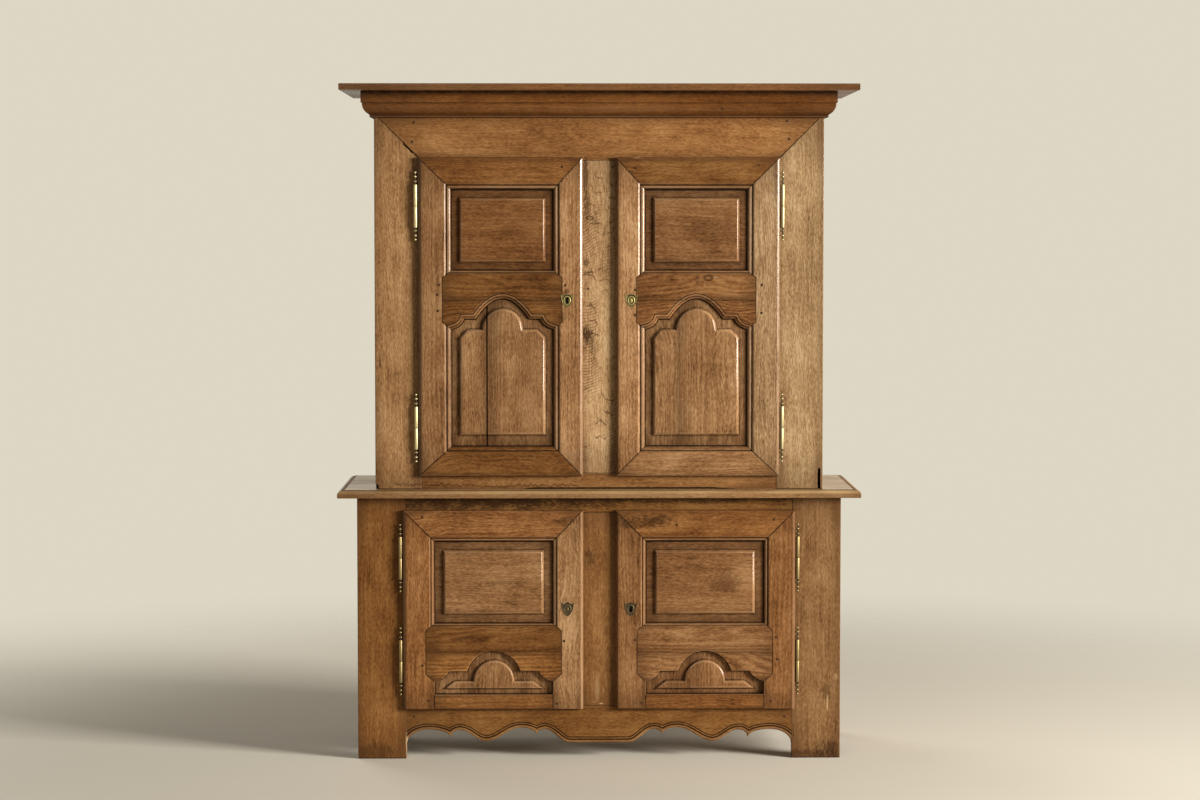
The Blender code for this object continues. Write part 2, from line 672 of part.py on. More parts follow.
def escutcheon(cupboard, hand, key_up, frame, pivot, open_keyhole, brass):
    """A pinned brass plate on the lock stile, with an open keyhole where a lock sits behind it."""
    x = SIDES[hand] * (cupboard.door_inner + KEY_IN)
    z = cupboard.door_bottom + key_up
    seat = DOOR_FRONT_Y - CLEAR
    plate = slab(f"{cupboard.name}_{hand}_escutcheon", shield(x, z), seat - PLATE_THICK, seat, brass)
    if open_keyhole:
        combine(plate, keyhole(x, z, seat - PLATE_THICK - CUT_PAST, seat + CUT_PAST), "DIFFERENCE")
        combine(frame, keyhole(x, z, DOOR_FRONT_Y - CUT_PAST, DOOR_BACK_Y + CUT_PAST), "DIFFERENCE")
    hang(plate, pivot)


def lock(cupboard, hand, key_up, centre, pivot, iron):
    """A rim lock on the back of a lock stile: a case open to the door, and the bolt that slides in it."""
    side = SIDES[hand]
    z = cupboard.door_bottom + key_up
    seat = DOOR_BACK_Y + CLEAR
    edge = cupboard.door_inner + DOOR_LAP + CASE_IN
    back = seat + CASE_THICK
    bolt_y = seat + (CASE_THICK - CASE_WALL - BOLT_THICK) / 2

    def between(near, far, y0, y1, half_high):
        ends = sorted((side * near, side * far))
        return (ends[0], y0, z - half_high), (ends[1], y1, z + half_high)

    case = block(f"{cupboard.name}_lock_case",
                 *between(edge, edge + CASE_WIDE, seat, back, CASE_HIGH / 2), iron)
    cut(case, *between(edge + CASE_WALL, edge + CASE_WIDE - CASE_WALL, seat - CUT_PAST, back - CASE_WALL,
                       CASE_HIGH / 2 - CASE_WALL))
    cut(case, *between(edge - CUT_PAST, edge + 2 * CASE_WALL, bolt_y - CLEAR, bolt_y + BOLT_THICK + CLEAR,
                       BOLT_HIGH / 2 + CLEAR))
    hang(case, pivot)

    bolt = block(f"{cupboard.name}_lock_bolt",
                 *between(edge, edge + BOLT_LONG, bolt_y, bolt_y + BOLT_THICK, BOLT_HIGH / 2), iron)
    hang(bolt, pivot)
    tip = edge - BOLT_THROW - PLAY
    cut(centre, *between(tip, cupboard.centre_half + CUT_PAST, bolt_y - PLAY / 2,
                         bolt_y + BOLT_THICK + PLAY / 2, BOLT_HIGH / 2 + PLAY / 2))


def cupboard_body(cupboard, finishes):
    """The carcass of one body: its front frame, side walls, back and boards."""
    oak = finishes["oak"]
    inside = finishes["inside"]
    stiles, centre = front_frame(cupboard, oak)
    floor_under = cupboard.sill - BOARD_THICK
    if cupboard is BASE:
        rail_foot = APRON_MIDDLE_LOBE[1]
        rail = apron(oak)
        back_boards(cupboard, floor_under, cupboard.top, inside)
    else:
        rail_foot = cupboard.foot
        end = cupboard.stile_inner - CLEAR
        rail = block("upper_bottom_rail", (-end, FACE_Y, cupboard.foot),
                     (end, FACE_Y + FRAME_THICK, cupboard.sill), oak)
        back_boards(cupboard, cupboard.foot, cupboard.top + CORNICE_HIGH, inside)
    lower_rail_tenons(cupboard, rail, rail_foot, stiles, centre)
    walls = {hand: side_wall(cupboard, hand, oak) for hand in SIDES}
    house(walls, cupboard, f"{cupboard.name}_floor", floor_under, BEHIND_FRAME_Y, inside)
    shelf_up = BASE_SHELF_UP if cupboard is BASE else UPPER_SHELF_UP
    house(walls, cupboard, f"{cupboard.name}_shelf", cupboard.sill + shelf_up, BEHIND_FRAME_Y, inside)
    if cupboard is UPPER:
        house(walls, cupboard, "upper_roof", cupboard.top - ROOF_DOWN - BOARD_THICK, BEHIND_FRAME_Y, inside)
    return stiles, centre


def cupboard_doors(cupboard, stiles, centre, key_up, locked_hand, finishes):
    """Both doors of one body, with their hinges, escutcheons and the lock."""
    for hand in SIDES:
        frame, pivot = door(cupboard, hand, finishes)
        parts = (stiles[hand], frame, pivot)
        hinge(cupboard, hand, "top", cupboard.door_top - HINGE_END, parts, finishes["brass"])
        hinge(cupboard, hand, "bottom", cupboard.door_bottom + HINGE_END, parts, finishes["brass"])
        escutcheon(cupboard, hand, key_up, frame, pivot, hand == locked_hand, finishes["brass"])
        if hand == locked_hand:
            lock(cupboard, hand, key_up, centre, pivot, finishes["iron"])


def build():
    for item in list(bpy.data.objects):
        bpy.data.objects.remove(item)
    finishes = {
        "oak": finish("waxed_oak", (0.290, 0.142, 0.053), 0.45),
        "panel": finish("oak_panel", (0.215, 0.098, 0.036), 0.42),
        "dark": finish("dark_oak", (0.130, 0.056, 0.021), 0.45),
        "inside": finish("inside_oak", (0.330, 0.195, 0.095), 0.70),
        "brass": finish("brass", (0.560, 0.420, 0.170), 0.30, 1.0),
        "iron": finish("wrought_iron", (0.050, 0.045, 0.040), 0.55, 1.0),
    }
    stiles, centre = cupboard_body(BASE, finishes)
    cupboard_doors(BASE, stiles, centre, BASE_KEY_UP, "right", finishes)
    buffet_top(finishes["oak"])
    stiles, centre = cupboard_body(UPPER, finishes)
    cupboard_doors(UPPER, stiles, centre, UPPER_KEY_UP, "left", finishes)
    cornice(finishes["dark"])


build()
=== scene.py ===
import math

import bmesh
import bpy
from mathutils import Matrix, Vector


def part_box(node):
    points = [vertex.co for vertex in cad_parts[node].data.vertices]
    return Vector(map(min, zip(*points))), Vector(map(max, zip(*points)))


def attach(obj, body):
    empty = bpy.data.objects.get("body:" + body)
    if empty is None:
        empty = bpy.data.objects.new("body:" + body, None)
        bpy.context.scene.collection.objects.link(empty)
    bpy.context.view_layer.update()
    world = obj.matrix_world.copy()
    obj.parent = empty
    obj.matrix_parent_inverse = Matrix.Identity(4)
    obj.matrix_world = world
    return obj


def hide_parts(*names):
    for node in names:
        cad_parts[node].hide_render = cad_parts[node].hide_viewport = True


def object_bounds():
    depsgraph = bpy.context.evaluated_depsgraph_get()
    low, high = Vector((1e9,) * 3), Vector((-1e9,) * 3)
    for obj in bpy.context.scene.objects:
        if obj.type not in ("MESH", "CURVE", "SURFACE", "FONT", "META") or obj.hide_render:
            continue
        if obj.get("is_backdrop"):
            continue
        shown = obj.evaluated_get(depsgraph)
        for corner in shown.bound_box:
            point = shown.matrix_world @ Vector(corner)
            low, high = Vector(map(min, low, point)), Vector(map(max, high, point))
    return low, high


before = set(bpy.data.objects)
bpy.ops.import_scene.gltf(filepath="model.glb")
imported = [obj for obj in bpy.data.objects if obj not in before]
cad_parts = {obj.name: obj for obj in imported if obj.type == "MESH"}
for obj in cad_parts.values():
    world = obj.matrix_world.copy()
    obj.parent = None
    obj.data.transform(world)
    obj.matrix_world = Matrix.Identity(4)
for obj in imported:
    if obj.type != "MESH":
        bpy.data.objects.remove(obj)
cad_low, cad_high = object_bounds()
scene = bpy.context.scene
scene.view_settings.view_transform = "Standard"


# The studio: a plain pale floor that fades into an even pale surround, a soft lamp at the right as from a
# window, wide weak lamps in front and behind on the left, and the camera at eye height, tilted down a little.
class Shade:
    """A shader socket. Sums of sockets and numbers add Math nodes, and node() adds any other node."""

    def __init__(self, tree, socket=None):
        self.tree = tree
        self.socket = socket

    def node(self, kind, settings=None, inputs=None, output=0):
        """Add a node: its settings first, then its sockets, linked or set. Gives back one output."""
        made = self.tree.nodes.new("ShaderNode" + kind)
        for name, value in (settings or {}).items():
            setattr(made, name, value)
        for name, value in (inputs or {}).items():
            socket = made.inputs[name]
            if isinstance(value, Shade):
                self.tree.links.new(value.socket, socket)
            else:
                socket.default_value = (*value, 1.0) if socket.type == "RGBA" else value
        return Shade(self.tree, made.outputs[output])

    def math(self, operation, *values):
        return self.node("Math", {"operation": operation}, dict(enumerate(values)))

    def __add__(self, other):
        return self.math("ADD", self, other)

    def __sub__(self, other):
        return self.math("SUBTRACT", self, other)

    def __rsub__(self, other):
        return self.math("SUBTRACT", other, self)

    def __mul__(self, other):
        return self.math("MULTIPLY", self, other)

    def __pow__(self, other):
        return self.math("POWER", self, other)

    def __abs__(self):
        return self.math("ABSOLUTE", self)

    def place(self):
        """Where a point is, before its body moves."""
        return self.node("TexCoord", output="Object")

    def marked(self, name, output="Fac"):
        """What the mesh has under this name."""
        return self.node("Attribute", {"attribute_name": name}, output=output)

    def axis(self, letter):
        return self.node("SeparateXYZ", {}, {0: self}, letter)

    def step(self, start, end):
        """Rises smoothly from 0 at start to 1 at end, and falls where end is the lower of the two."""
        low, high = min(start, end), max(start, end)
        ends = {"To Min": float(start > end), "To Max": float(start < end)}
        return self.node("MapRange", {"interpolation_type": "SMOOTHSTEP"},
                         {"Value": self, "From Min": low, "From Max": high, **ends}, "Result")

    def mix(self, colour, share, blend="MIX"):
        """This colour with another laid over it by a share from 0 to 1."""
        return self.node("Mix", {"data_type": "RGBA", "blend_type": blend}, {0: share, 6: self, 7: colour}, 2)

    def between(self, first, second):
        """This share of the way from one colour to another."""
        return self.node("Mix", {"data_type": "RGBA"}, {0: self, 6: first, 7: second}, 2)

    def ramp(self, stops):
        """The colour at this value, between stops of (value, colour)."""
        made = self.tree.nodes.new("ShaderNodeValToRGB")
        elements = made.color_ramp.elements
        while len(elements) < len(stops):
            elements.new(1.0)
        for element, (value, colour) in zip(elements, stops):
            element.position = value
            element.color = (*colour, 1.0)
        self.tree.links.new(self.socket, made.inputs[0])
        return Shade(self.tree, made.outputs["Color"])

    def noise(self, along, across, detail=2.0, rough=0.5):
        """Noise over this place, with so many grains a metre along its first direction and across it."""
        place = self.node("VectorMath", {"operation": "MULTIPLY"}, {0: self, 1: (along, across, across)})
        return self.node("TexNoise", {}, {"Vector": place, "Scale": 1.0, "Detail": detail,
                                          "Roughness": rough}, "Fac")

    def bump(self, strength, depth):
        """The surface's direction, bent by this relief."""
        return self.node("Bump", {}, {"Strength": strength, "Distance": depth, "Height": self}, "Normal")


def finish(name, surface):
    """A material whose main shader takes the sockets that surface(shade) gives back."""
    material = bpy.data.materials.new(name)
    material.use_nodes = True
    tree = material.node_tree
    shader = tree.nodes["Principled BSDF"]
    for socket, value in surface(Shade(tree)).items():
        if isinstance(value, Shade):
            tree.links.new(value.socket, shader.inputs[socket])
        else:
            shader.inputs[socket].default_value = value
    return material


def placed(name, data):
    """A new object in the scene."""
    made = bpy.data.objects.new(name, data)
    scene.collection.objects.link(made)
    return made


X, Y, Z = Vector((1, 0, 0)), Vector((0, 1, 0)), Vector((0, 0, 1))
SURROUND = (0.725, 0.675, 0.555)
FILL = (0.052, 0.040, 0.026)
FLOOR = (0.74, 0.69, 0.58)
FLOOR_RADIUS = 4.2
FLOOR_FADES_FROM = 1.3
FLOOR_SIDES = 64
FLOOR_DOWN = 0.0006


def pale_floor(shade):
    place = shade.place()
    away = shade.node("VectorMath", {"operation": "LENGTH"}, {0: place}, "Value")
    colour = place.noise(3, 3, 4).between(FLOOR, [0.96 * c for c in FLOOR])
    return {"Base Color": colour, "Roughness": 0.85, "Alpha": away.step(FLOOR_RADIUS, FLOOR_FADES_FROM)}


turns = [math.tau * i / FLOOR_SIDES for i in range(FLOOR_SIDES)]
floor_mesh = bpy.data.meshes.new("floor")
floor_mesh.from_pydata([(FLOOR_RADIUS * math.cos(turn), FLOOR_RADIUS * math.sin(turn), -FLOOR_DOWN)
                        for turn in turns], [], [list(range(FLOOR_SIDES))])
floor_mesh.materials.append(finish("pale_floor", pale_floor))
floor = placed("floor", floor_mesh)
floor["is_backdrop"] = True

surround = bpy.data.worlds.new("surround")
surround.use_nodes = True
scene.world = surround
sky = Shade(surround.node_tree)
seen = sky.node("LightPath", output="Is Camera Ray")
for way in ("Is Glossy Ray", "Is Transmission Ray"):
    seen = seen.math("MAXIMUM", seen, sky.node("LightPath", output=way))
sky_colour = seen.between(FILL, SURROUND)
surround.node_tree.links.new(sky_colour.socket, surround.node_tree.nodes["Background"].inputs["Color"])

LAMP_COLOUR = (1.0, 0.97, 0.92)
LAMPS = (("window_lamp", (6.9, -3.8, 2.4), (0.1, -0.2, 1.05), 2.5, 1290),
         ("front_lamp", (-2.5, -6.5, 2.8), (0.0, -0.2, 1.0), 4.0, 46),
         ("back_lamp", (-3.6, 5.0, 3.6), (0.0, 0.2, 0.9), 3.5, 130))
for name, place, aim, size, watts in LAMPS:
    lamp = placed(name, bpy.data.lights.new(name, "AREA"))
    lamp.data.size = size
    lamp.data.energy = watts
    lamp.data.color = LAMP_COLOUR
    lamp.location = place
    lamp.rotation_euler = (Vector(aim) - Vector(place)).to_track_quat("-Z", "Y").to_euler()

EYE = (-0.1056, -8.896, 1.6142)
PHOTO_WIDE_PX = 1200
FOCAL_PX = 2900
LEFT_OF_AIM_PX = 36
ABOVE_AIM_PX = 176
SENSOR_MM = 36.0
camera = placed("camera", bpy.data.cameras.new("camera"))
camera.data.sensor_fit = "HORIZONTAL"
camera.data.sensor_width = SENSOR_MM
camera.data.lens = SENSOR_MM * FOCAL_PX / PHOTO_WIDE_PX
camera.location = EYE
camera.rotation_euler = (math.pi / 2 - math.atan(ABOVE_AIM_PX / FOCAL_PX), 0.0,
                         -math.atan(LEFT_OF_AIM_PX / FOCAL_PX))
scene.camera = camera


# The four front stiles: planed oak planks, stood upright, with every arris worn round. The base's run
# down to the floor as feet, and the upper body's are mitred at the head for its top rail.
JOINT_GAP = 0.0003
JOINT_GRIME = 0.7
GRIME_REACH = 0.003
BACK_GRIME = 0.3
SHARP_OVER = 30
SAME_POINT = 0.000001
NEARLY_STRAIGHT = 0.02
CUT_PAST = 0.002
LOG_LONG = 20
LOG_ASIDE = 0.14
PITH_NEAREST = 0.035
PITH_SPREAD = 0.05


def meshed(name, shape):
    """A piece with the faces of a bmesh, which is then let go."""
    mesh = bpy.data.meshes.new(name)
    shape.to_mesh(mesh)
    shape.free()
    return placed(name, mesh)


def skin(name, rings, mark):
    """A closed piece over a row of rings of equally many points, with both ends capped. mark gives a
    face corner its grime and painted shade, and its wear, from its ring, the edge that the face is on and its
    point."""
    count = len(rings[0])
    faces = []
    for row in range(len(rings) - 1):
        for edge in range(count):
            after = (edge + 1) % count
            faces.append((edge, [(row, edge), (row, after), (row + 1, after), (row + 1, edge)]))
    faces.append((None, [(0, point) for point in reversed(range(count))]))
    faces.append((None, [(len(rings) - 1, point) for point in range(count)]))
    volume = 0.0
    for edge, corners in faces:
        fan = [Vector(rings[row][point]) for row, point in corners]
        volume += sum(fan[0].dot(fan[i].cross(fan[i + 1])) for i in range(1, len(fan) - 1))
    if volume < 0:
        faces = [(edge, corners[::-1]) for edge, corners in faces]
    mesh = bpy.data.meshes.new("skin")
    mesh.from_pydata([point for ring in rings for point in ring], [],
                     [[row * count + point for row, point in corners] for edge, corners in faces])
    marks = [mark(row, edge, point) for edge, corners in faces for row, point in corners]
    for label, values in zip(("grime", "wear"), zip(*marks)):
        mesh.attributes.new(label, "FLOAT", "CORNER").data.foreach_set("value", values)
    shape = bmesh.new()
    shape.from_mesh(mesh)
    bmesh.ops.remove_doubles(shape, verts=shape.verts, dist=SAME_POINT)
    bpy.data.meshes.remove(mesh)
    return meshed(name, shape)


def lofted(name, levels, ring):
    """A closed piece with one ring(size, place) for each level of (size, place, grime and shade, wear)."""
    rings = [ring(size, place) for size, place, grime, wear in levels]
    return skin(name, rings, lambda row, edge, point: levels[row][2:])


def corner(before, here, after, inset_before, inset_after):
    """Where the two edges at a corner of an anticlockwise outline meet once each is moved inwards."""
    arriving = (here - before).normalized()
    leaving = (after - here).normalized()
    out_a = Vector((arriving.y, -arriving.x))
    out_b = Vector((leaving.y, -leaving.x))
    turn = out_a.x * out_b.y - out_a.y * out_b.x
    if abs(turn) < NEARLY_STRAIGHT:
        return here - (out_a + out_b) * (inset_before + inset_after) / 4
    return here + Vector((inset_after * out_a.y - inset_before * out_b.y,
                          inset_before * out_b.x - inset_after * out_a.x)) / turn


def padded(profile, levels):
    """The same profile with more points, put in the middle of its longest runs."""
    points = [tuple(point) for point in profile]
    while len(points) < levels:
        runs = [math.dist(a[:2], b[:2]) for a, b in zip(points, points[1:])]
        at = runs.index(max(runs))
        points.insert(at + 1, tuple((a + b) / 2 for a, b in zip(points[at], points[at + 1])))
    return points


def worked(name, outline, kinds, profiles, origin, across, up, inward, face_wear_and_sheen=0.0, back_wear=0.0):
    """A board cut to an anticlockwise outline, each edge worked to the profile that its kind names, as
    points of (inset, depth, grime and shade, wear) from the face to the back. An edge of no kind is a joint."""
    points = [Vector(point) for point in outline]
    levels = max(len(profile) for profile in profiles.values())
    full = {kind: padded(profile, levels) for kind, profile in profiles.items()}
    rings = []
    for level in range(-1, levels):
        ring = []
        for i, here in enumerate(points):
            insets = []
            for kind in (kinds[i - 1], kinds[i]):
                inset = full[kind][max(level, 0)][0] if kind else JOINT_GAP
                insets.append(inset + GRIME_REACH if level < 0 else inset)
            shaped = kinds[i - 1] or kinds[i] or next(iter(full))
            u, v = corner(points[i - 1], here, points[(i + 1) % len(points)], *insets)
            ring.append(origin + across * u + up * v + inward * full[shaped][max(level, 0)][1])
        rings.append(ring)

    def mark(row, edge, point):
        if row == 0:
            return 0.0, face_wear_and_sheen
        if edge is None:
            return BACK_GRIME * (1 - back_wear), back_wear
        if kinds[edge] is None:
            return JOINT_GRIME, 0.0
        return full[kinds[edge]][row - 1][2:]

    return skin(name, rings, mark)


def eased(thick, ease=0.0012, grime=0.0, wear=0.7):
    """A square edge with both of its arrises worn round."""
    return [(ease, 0.0, grime, 0.2 * wear), (0.3 * ease, 0.3 * ease, grime, wear),
            (0.0, ease, grime, 0.3 * wear), (0.0, thick - ease, grime, 0.3 * wear),
            (0.3 * ease, thick - 0.3 * ease, grime, wear), (ease, thick, grime, 0.2 * wear)]


def rectangle(left, right, bottom, top):
    """An anticlockwise outline with four square corners."""
    return [(left, bottom), (right, bottom), (right, top), (left, top)]


def lay(piece, along, across, tint=(1.0, 1.0, 1.0), ripple=0.0, figure=0.35):
    """Mark each point with its place in the log that the piece was sawn from, its spot between the piece's
    ends and edges, its tint, and how strongly it shows the oak's rays and its rings."""
    mesh = piece.data
    number = sum((i + 1) * ord(letter) for i, letter in enumerate(piece.name))
    turns = [number * share % 1.0 for share in (0.618034, 0.414214, 0.732051)]
    deep = along.cross(across)
    low = Vector([min(v.co[i] for v in mesh.vertices) for i in range(3)])
    high = Vector([max(v.co[i] for v in mesh.vertices) for i in range(3)])
    middle = (low + high) / 2
    half_long, half_wide = (abs((high - low).dot(way)) / 2 for way in (along, across))
    places = []
    spots = []
    for vertex in mesh.vertices:
        from_middle = vertex.co - middle
        spots += [from_middle.dot(along) / half_long, from_middle.dot(across) / half_wide, 0.0]
        places += [from_middle.dot(along) + LOG_LONG * turns[0],
                   from_middle.dot(across) + LOG_ASIDE * (turns[1] - 0.5),
                   from_middle.dot(deep) + PITH_NEAREST + PITH_SPREAD * turns[2]]
    count = len(mesh.vertices)
    for label, values in (("grain", places), ("spot", spots), ("tint", list(tint) * count)):
        mesh.attributes.new(label, "FLOAT_VECTOR", "POINT").data.foreach_set("vector", values)
    for label, value in (("ripple", ripple), ("figure", figure)):
        mesh.attributes.new(label, "FLOAT", "POINT").data.foreach_set("value", [value] * count)


def fit(piece, material, body, slot, *nodes):
    """Finish a piece, smooth its rounded edges, hide the parts that it stands for and hang it on its body."""
    piece.data.materials.clear()
    piece.data.materials.append(material)
    piece.data.shade_smooth()
    piece.data.set_sharp_from_angle(angle=math.radians(SHARP_OVER))
    if nodes:
        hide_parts(*nodes)
    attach(piece, body)


def combine(piece, other, operation="DIFFERENCE"):
    """Cut another piece out of this one, or join it on, and take the other away."""
    modifier = piece.modifiers.new("shaping", "BOOLEAN")
    modifier.operation = operation
    modifier.object = other
    graph = bpy.context.evaluated_depsgraph_get()
    shaped = bpy.data.meshes.new_from_object(piece.evaluated_get(graph))
    piece.modifiers.clear()
    piece.data = shaped
    bpy.data.objects.remove(other)


def prism(name, outline, y0, y1):
    """A solid with an outline of (x, z) points, between two depths, that leaves dirt and painted shade on the
    faces where it cuts.
    """
    rings = [[(x, y, z) for x, z in outline] for y in (y0, y1)]
    return skin(name, rings, lambda row, edge, point: (1.0, 0.0))


SCUFF = (0.54, 0.37, 0.195)
# The near-black that dirt and painted shade in corners and grooves go towards.
DIRT_AND_SHADE = (0.008, 0.0040, 0.0018)


def oak(name, dark, middling, pale, polish, stains=(), scuffs=(), knots=(), tides=(), bleached=None,
        gloss=0.95):
    """Oak: rings cut at a slant, streaks, fine flecks, open pores, rays where the cut is true to them,
    clouds of old wax, dirt and painted shade in the corners and towards each piece's ends and edges, and
    rubbed, glossy arrises. Stains, scuffs and knots are ovals on the front, each as (x, z, half width, half
    height, strength), and tides are lines left by water, each as (start x, end x, z, rise, strength)."""

    def darker(share):
        return [share * c for c in dark]

    def surface(shade):
        grain = shade.marked("grain", "Vector")
        spot = shade.marked("spot", "Vector")
        ripple = shade.marked("ripple")
        grime = shade.marked("grime")
        wear = shade.marked("wear")
        along, across, deep = (grain.axis(letter) for letter in "XYZ")

        sway = grain.noise(1.8, 6, 3) - 0.5
        bend = grain.noise(6, 30, 3) - 0.5
        flow = shade.node("CombineXYZ", {}, {"X": along, "Y": across + sway * 0.05, "Z": deep + sway * 0.03})
        side = across + sway * 0.13
        from_pith = (side * side + (deep + sway * 0.06) ** 2.0) ** 0.5
        late_wood = shade.math("SINE", (from_pith * 150 + bend * 1.6) * math.tau) * shade.marked("figure")
        streak = flow.noise(5, 130, 4, 0.6) - 0.5
        fleck = flow.noise(85, 290, 2, 0.6) - 0.5
        pore = flow.noise(60, 620, 1).step(0.57, 0.68)
        cloud = grain.noise(3.5, 6, 3, 0.55) - 0.5
        patch = grain.noise(13, 20, 3, 0.6) - 0.5
        plane_marks = grain.noise(8, 30)

        tone = streak * 0.60 + fleck * 1.0 + late_wood * 0.11 + cloud * 0.85 + patch * 0.60 + 0.52
        colour = tone.ramp([(0.10, dark), (0.50, middling), (0.92, pale)])
        colour = colour.mix(shade.marked("tint", "Vector"), 1.0, "MULTIPLY")
        # Painted shade with patina: each piece darkens towards its ends and edges, where shade falls at the
        # joints.
        edge_patina_and_shade = abs(spot.axis("X")).step(0.66, 1.0) * 0.7 + abs(spot.axis("Y")).step(0.40, 1.0) * 0.75
        edge_patina_and_shade = (edge_patina_and_shade * (cloud * 1.8 + patch + 0.75)).step(0.0, 1.0)
        colour = colour.mix(darker(0.70), edge_patina_and_shade * 0.7)
        colour = colour.mix(darker(0.42), pore * 0.4)

        waves = along * 105 - across * 33 + grain.noise(5, 12) * 4.5
        waves = shade.math("SINE", waves * math.tau).step(0.25, 1.0)
        waves = waves * grain.noise(3, 7).step(0.36, 0.50) * ripple
        colour = colour.mix(darker(0.80), waves * 0.62)
        wander = along * 23 + across * 6 + grain.noise(9, 20, 3, 0.55) * 2.2
        broken = grain.noise(11, 30).step(0.50, 0.62) * ripple
        ray = shade.math("PINGPONG", wander, 0.5).step(0.12, 0.0) * broken
        colour = colour.mix(darker(0.55), ray * 0.75)

        front = shade.place()
        east = front.axis("X")
        height = front.axis("Z")
        soaked = darker(0.30)
        for marks, mark_colour, hollow in ((stains, soaked, 0.0), (scuffs, SCUFF, 0.0), (knots, soaked, 1.0)):
            for x, z, half_wide, half_high, strength in marks:
                beside = (east - x) * (1 / half_wide)
                above = (height - z) * (1 / half_high)
                far = beside * beside + above * above + patch * 2.5 + fleck * 2.0
                colour = colour.mix(mark_colour, abs(far - hollow).step(1.3, 0.0) * strength)
        for start, end, z, rise, strength in tides:
            drift = height - z - (front.noise(85, 0, 2, 0.6) - 0.5) * rise
            line = abs(drift).step(0.0032, 0.0008)
            line = line * east.step(start, start + 0.02) * east.step(end, end - 0.02)
            colour = colour.mix(darker(0.40), line * strength)

        rubbed = (wear * (cloud * 1.6 + 0.85)).step(0.05, 0.9)
        # bleached, given only for the buffet top, is a painted sheen as well as wear.
        colour = colour.mix(bleached or pale, rubbed * (0.85 if bleached else 0.35))
        # Painted shade with dirt: corners, quirks, grooves, joints and cut faces go towards near-black by the
        # mark set for dirt and shade.
        dirt_and_shade = (grime * (grain.noise(40, 90, 3) * 1.5 + 0.25)).step(0.10, 0.9)
        colour = colour.mix(DIRT_AND_SHADE, dirt_and_shade * 0.9)
        relief = streak * 0.6 + fleck * 0.5 - pore * 0.4 + plane_marks * 1.2
        rough = streak * 0.2 + cloud * 0.2 - wear * 0.10 + dirt_and_shade * 0.3 + pore * 0.12 + polish
        return {"Base Color": colour, "Roughness": rough, "Normal": relief.bump(0.30, 0.0006),
                "Specular IOR Level": 0.07, "Coat Weight": rubbed * gloss, "Coat Roughness": 0.17}

    return finish(name, surface)


FRONT_STAINS = [
    (-0.034, 1.287, 0.020, 0.030, 0.90), (-0.022, 1.262, 0.008, 0.040, 0.45),
    (-0.030, 0.607, 0.018, 0.030, 0.6), (-0.041, 1.760, 0.008, 0.060, 0.65),
    (-0.038, 1.672, 0.010, 0.045, 0.55), (-0.038, 1.500, 0.010, 0.012, 0.6),
    (-0.030, 1.470, 0.018, 0.004, 0.7), (-0.036, 1.420, 0.014, 0.004, 0.7),
    (-0.012, 1.616, 0.020, 0.004, 0.6), (0.016, 1.592, 0.005, 0.018, 0.5),
    (-0.690, 0.022, 0.080, 0.026, 0.5), (0.690, 0.024, 0.045, 0.034, 0.75),
    (0.640, 0.012, 0.10, 0.018, 0.7), (0.716, 0.098, 0.0018, 0.030, 0.9),
    (0.588, 0.075, 0.0016, 0.022, 0.8), (-0.658, 1.205, 0.004, 0.024, 0.6),
    (0.6875, 0.203, 0.014, 0.030, 0.40)]
FRONT_SCUFFS = [
    (0.691, 0.172, 0.0034, 0.022, 0.55), (0.691, 0.1535, 0.0030, 0.012, 0.60),
    (0.716, 0.247, 0.006, 0.010, 0.25), (-0.5815, 0.045, 0.0040, 0.040, 0.8),
    (-0.0065, 0.213, 0.0090, 0.046, 0.24), (0.013, 0.206, 0.0030, 0.010, 0.22),
    (0.0058, 0.1665, 0.0060, 0.0026, 0.60), (-0.0147, 0.171, 0.0050, 0.0030, 0.40)]
FRONT_KNOTS = [(-0.028, 1.632, 0.0095, 0.0050, 0.8)]
TIDE_MARKS = [(-0.625, -0.530, 0.8320, 0.040, 0.75), (-0.530, -0.360, 0.8300, 0.034, 0.85),
              (-0.355, -0.250, 0.8255, 0.030, 0.80), (-0.270, -0.050, 0.8290, 0.034, 0.80)]
FRAME_COLOURS = (0.125, 0.052, 0.017), (0.335, 0.172, 0.068), (0.535, 0.320, 0.148)
frame_oak = oak("waxed_frame_oak", *FRAME_COLOURS, 0.50, FRONT_STAINS, FRONT_SCUFFS, FRONT_KNOTS, TIDE_MARKS)

OAK_TONES = {"silvered": (1.30, 1.52, 1.80), "bleached": (1.02, 1.22, 1.45), "pale": (1.06, 1.09, 1.13),
             "straw": (0.93, 0.97, 1.00), "fawn": (0.84, 0.84, 0.83), "honey": (0.80, 0.68, 0.54),
             "nut": (0.70, 0.65, 0.60), "russet": (0.64, 0.55, 0.44), "amber": (0.62, 0.50, 0.34),
             "weathered": (0.60, 0.59, 0.57), "tobacco": (0.53, 0.44, 0.29)}
stile_tones = {"base_stile_left": "amber", "base_stile_right": "weathered",
               "upper_stile_left": "pale", "upper_stile_right": "bleached"}
LOST_SPLINTERS = {
    "upper_stile_right": [(0.0149, -0.001), (0.0062, -0.001), (0.0066, 0.064), (0.0145, 0.060)],
    "upper_stile_left": [(0.0105, -0.001), (-0.001, -0.001), (-0.001, 0.015), (0.0040, 0.017),
                         (0.0092, 0.011)]}
MITRE_OPEN = 0.0016
MITRE_CHIP = ((0.018, -0.002), (0.024, 0.0030), (0.036, 0.0022), (0.047, 0.0036), (0.060, -0.002))
CHIP_DEEP = 0.004
BODIES = ("base", "upper")
HANDS = {"left": -1, "right": 1}
frame_front, frame_back = (end.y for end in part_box("base_stile_left"))
frame_thick = frame_back - frame_front
front_face = Vector((0, frame_front, 0))
frame_edges = {"edge": eased(frame_thick), "foot": eased(frame_thick, grime=0.8, wear=0.3)}
upper_rail_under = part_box("upper_top_rail")[0].z
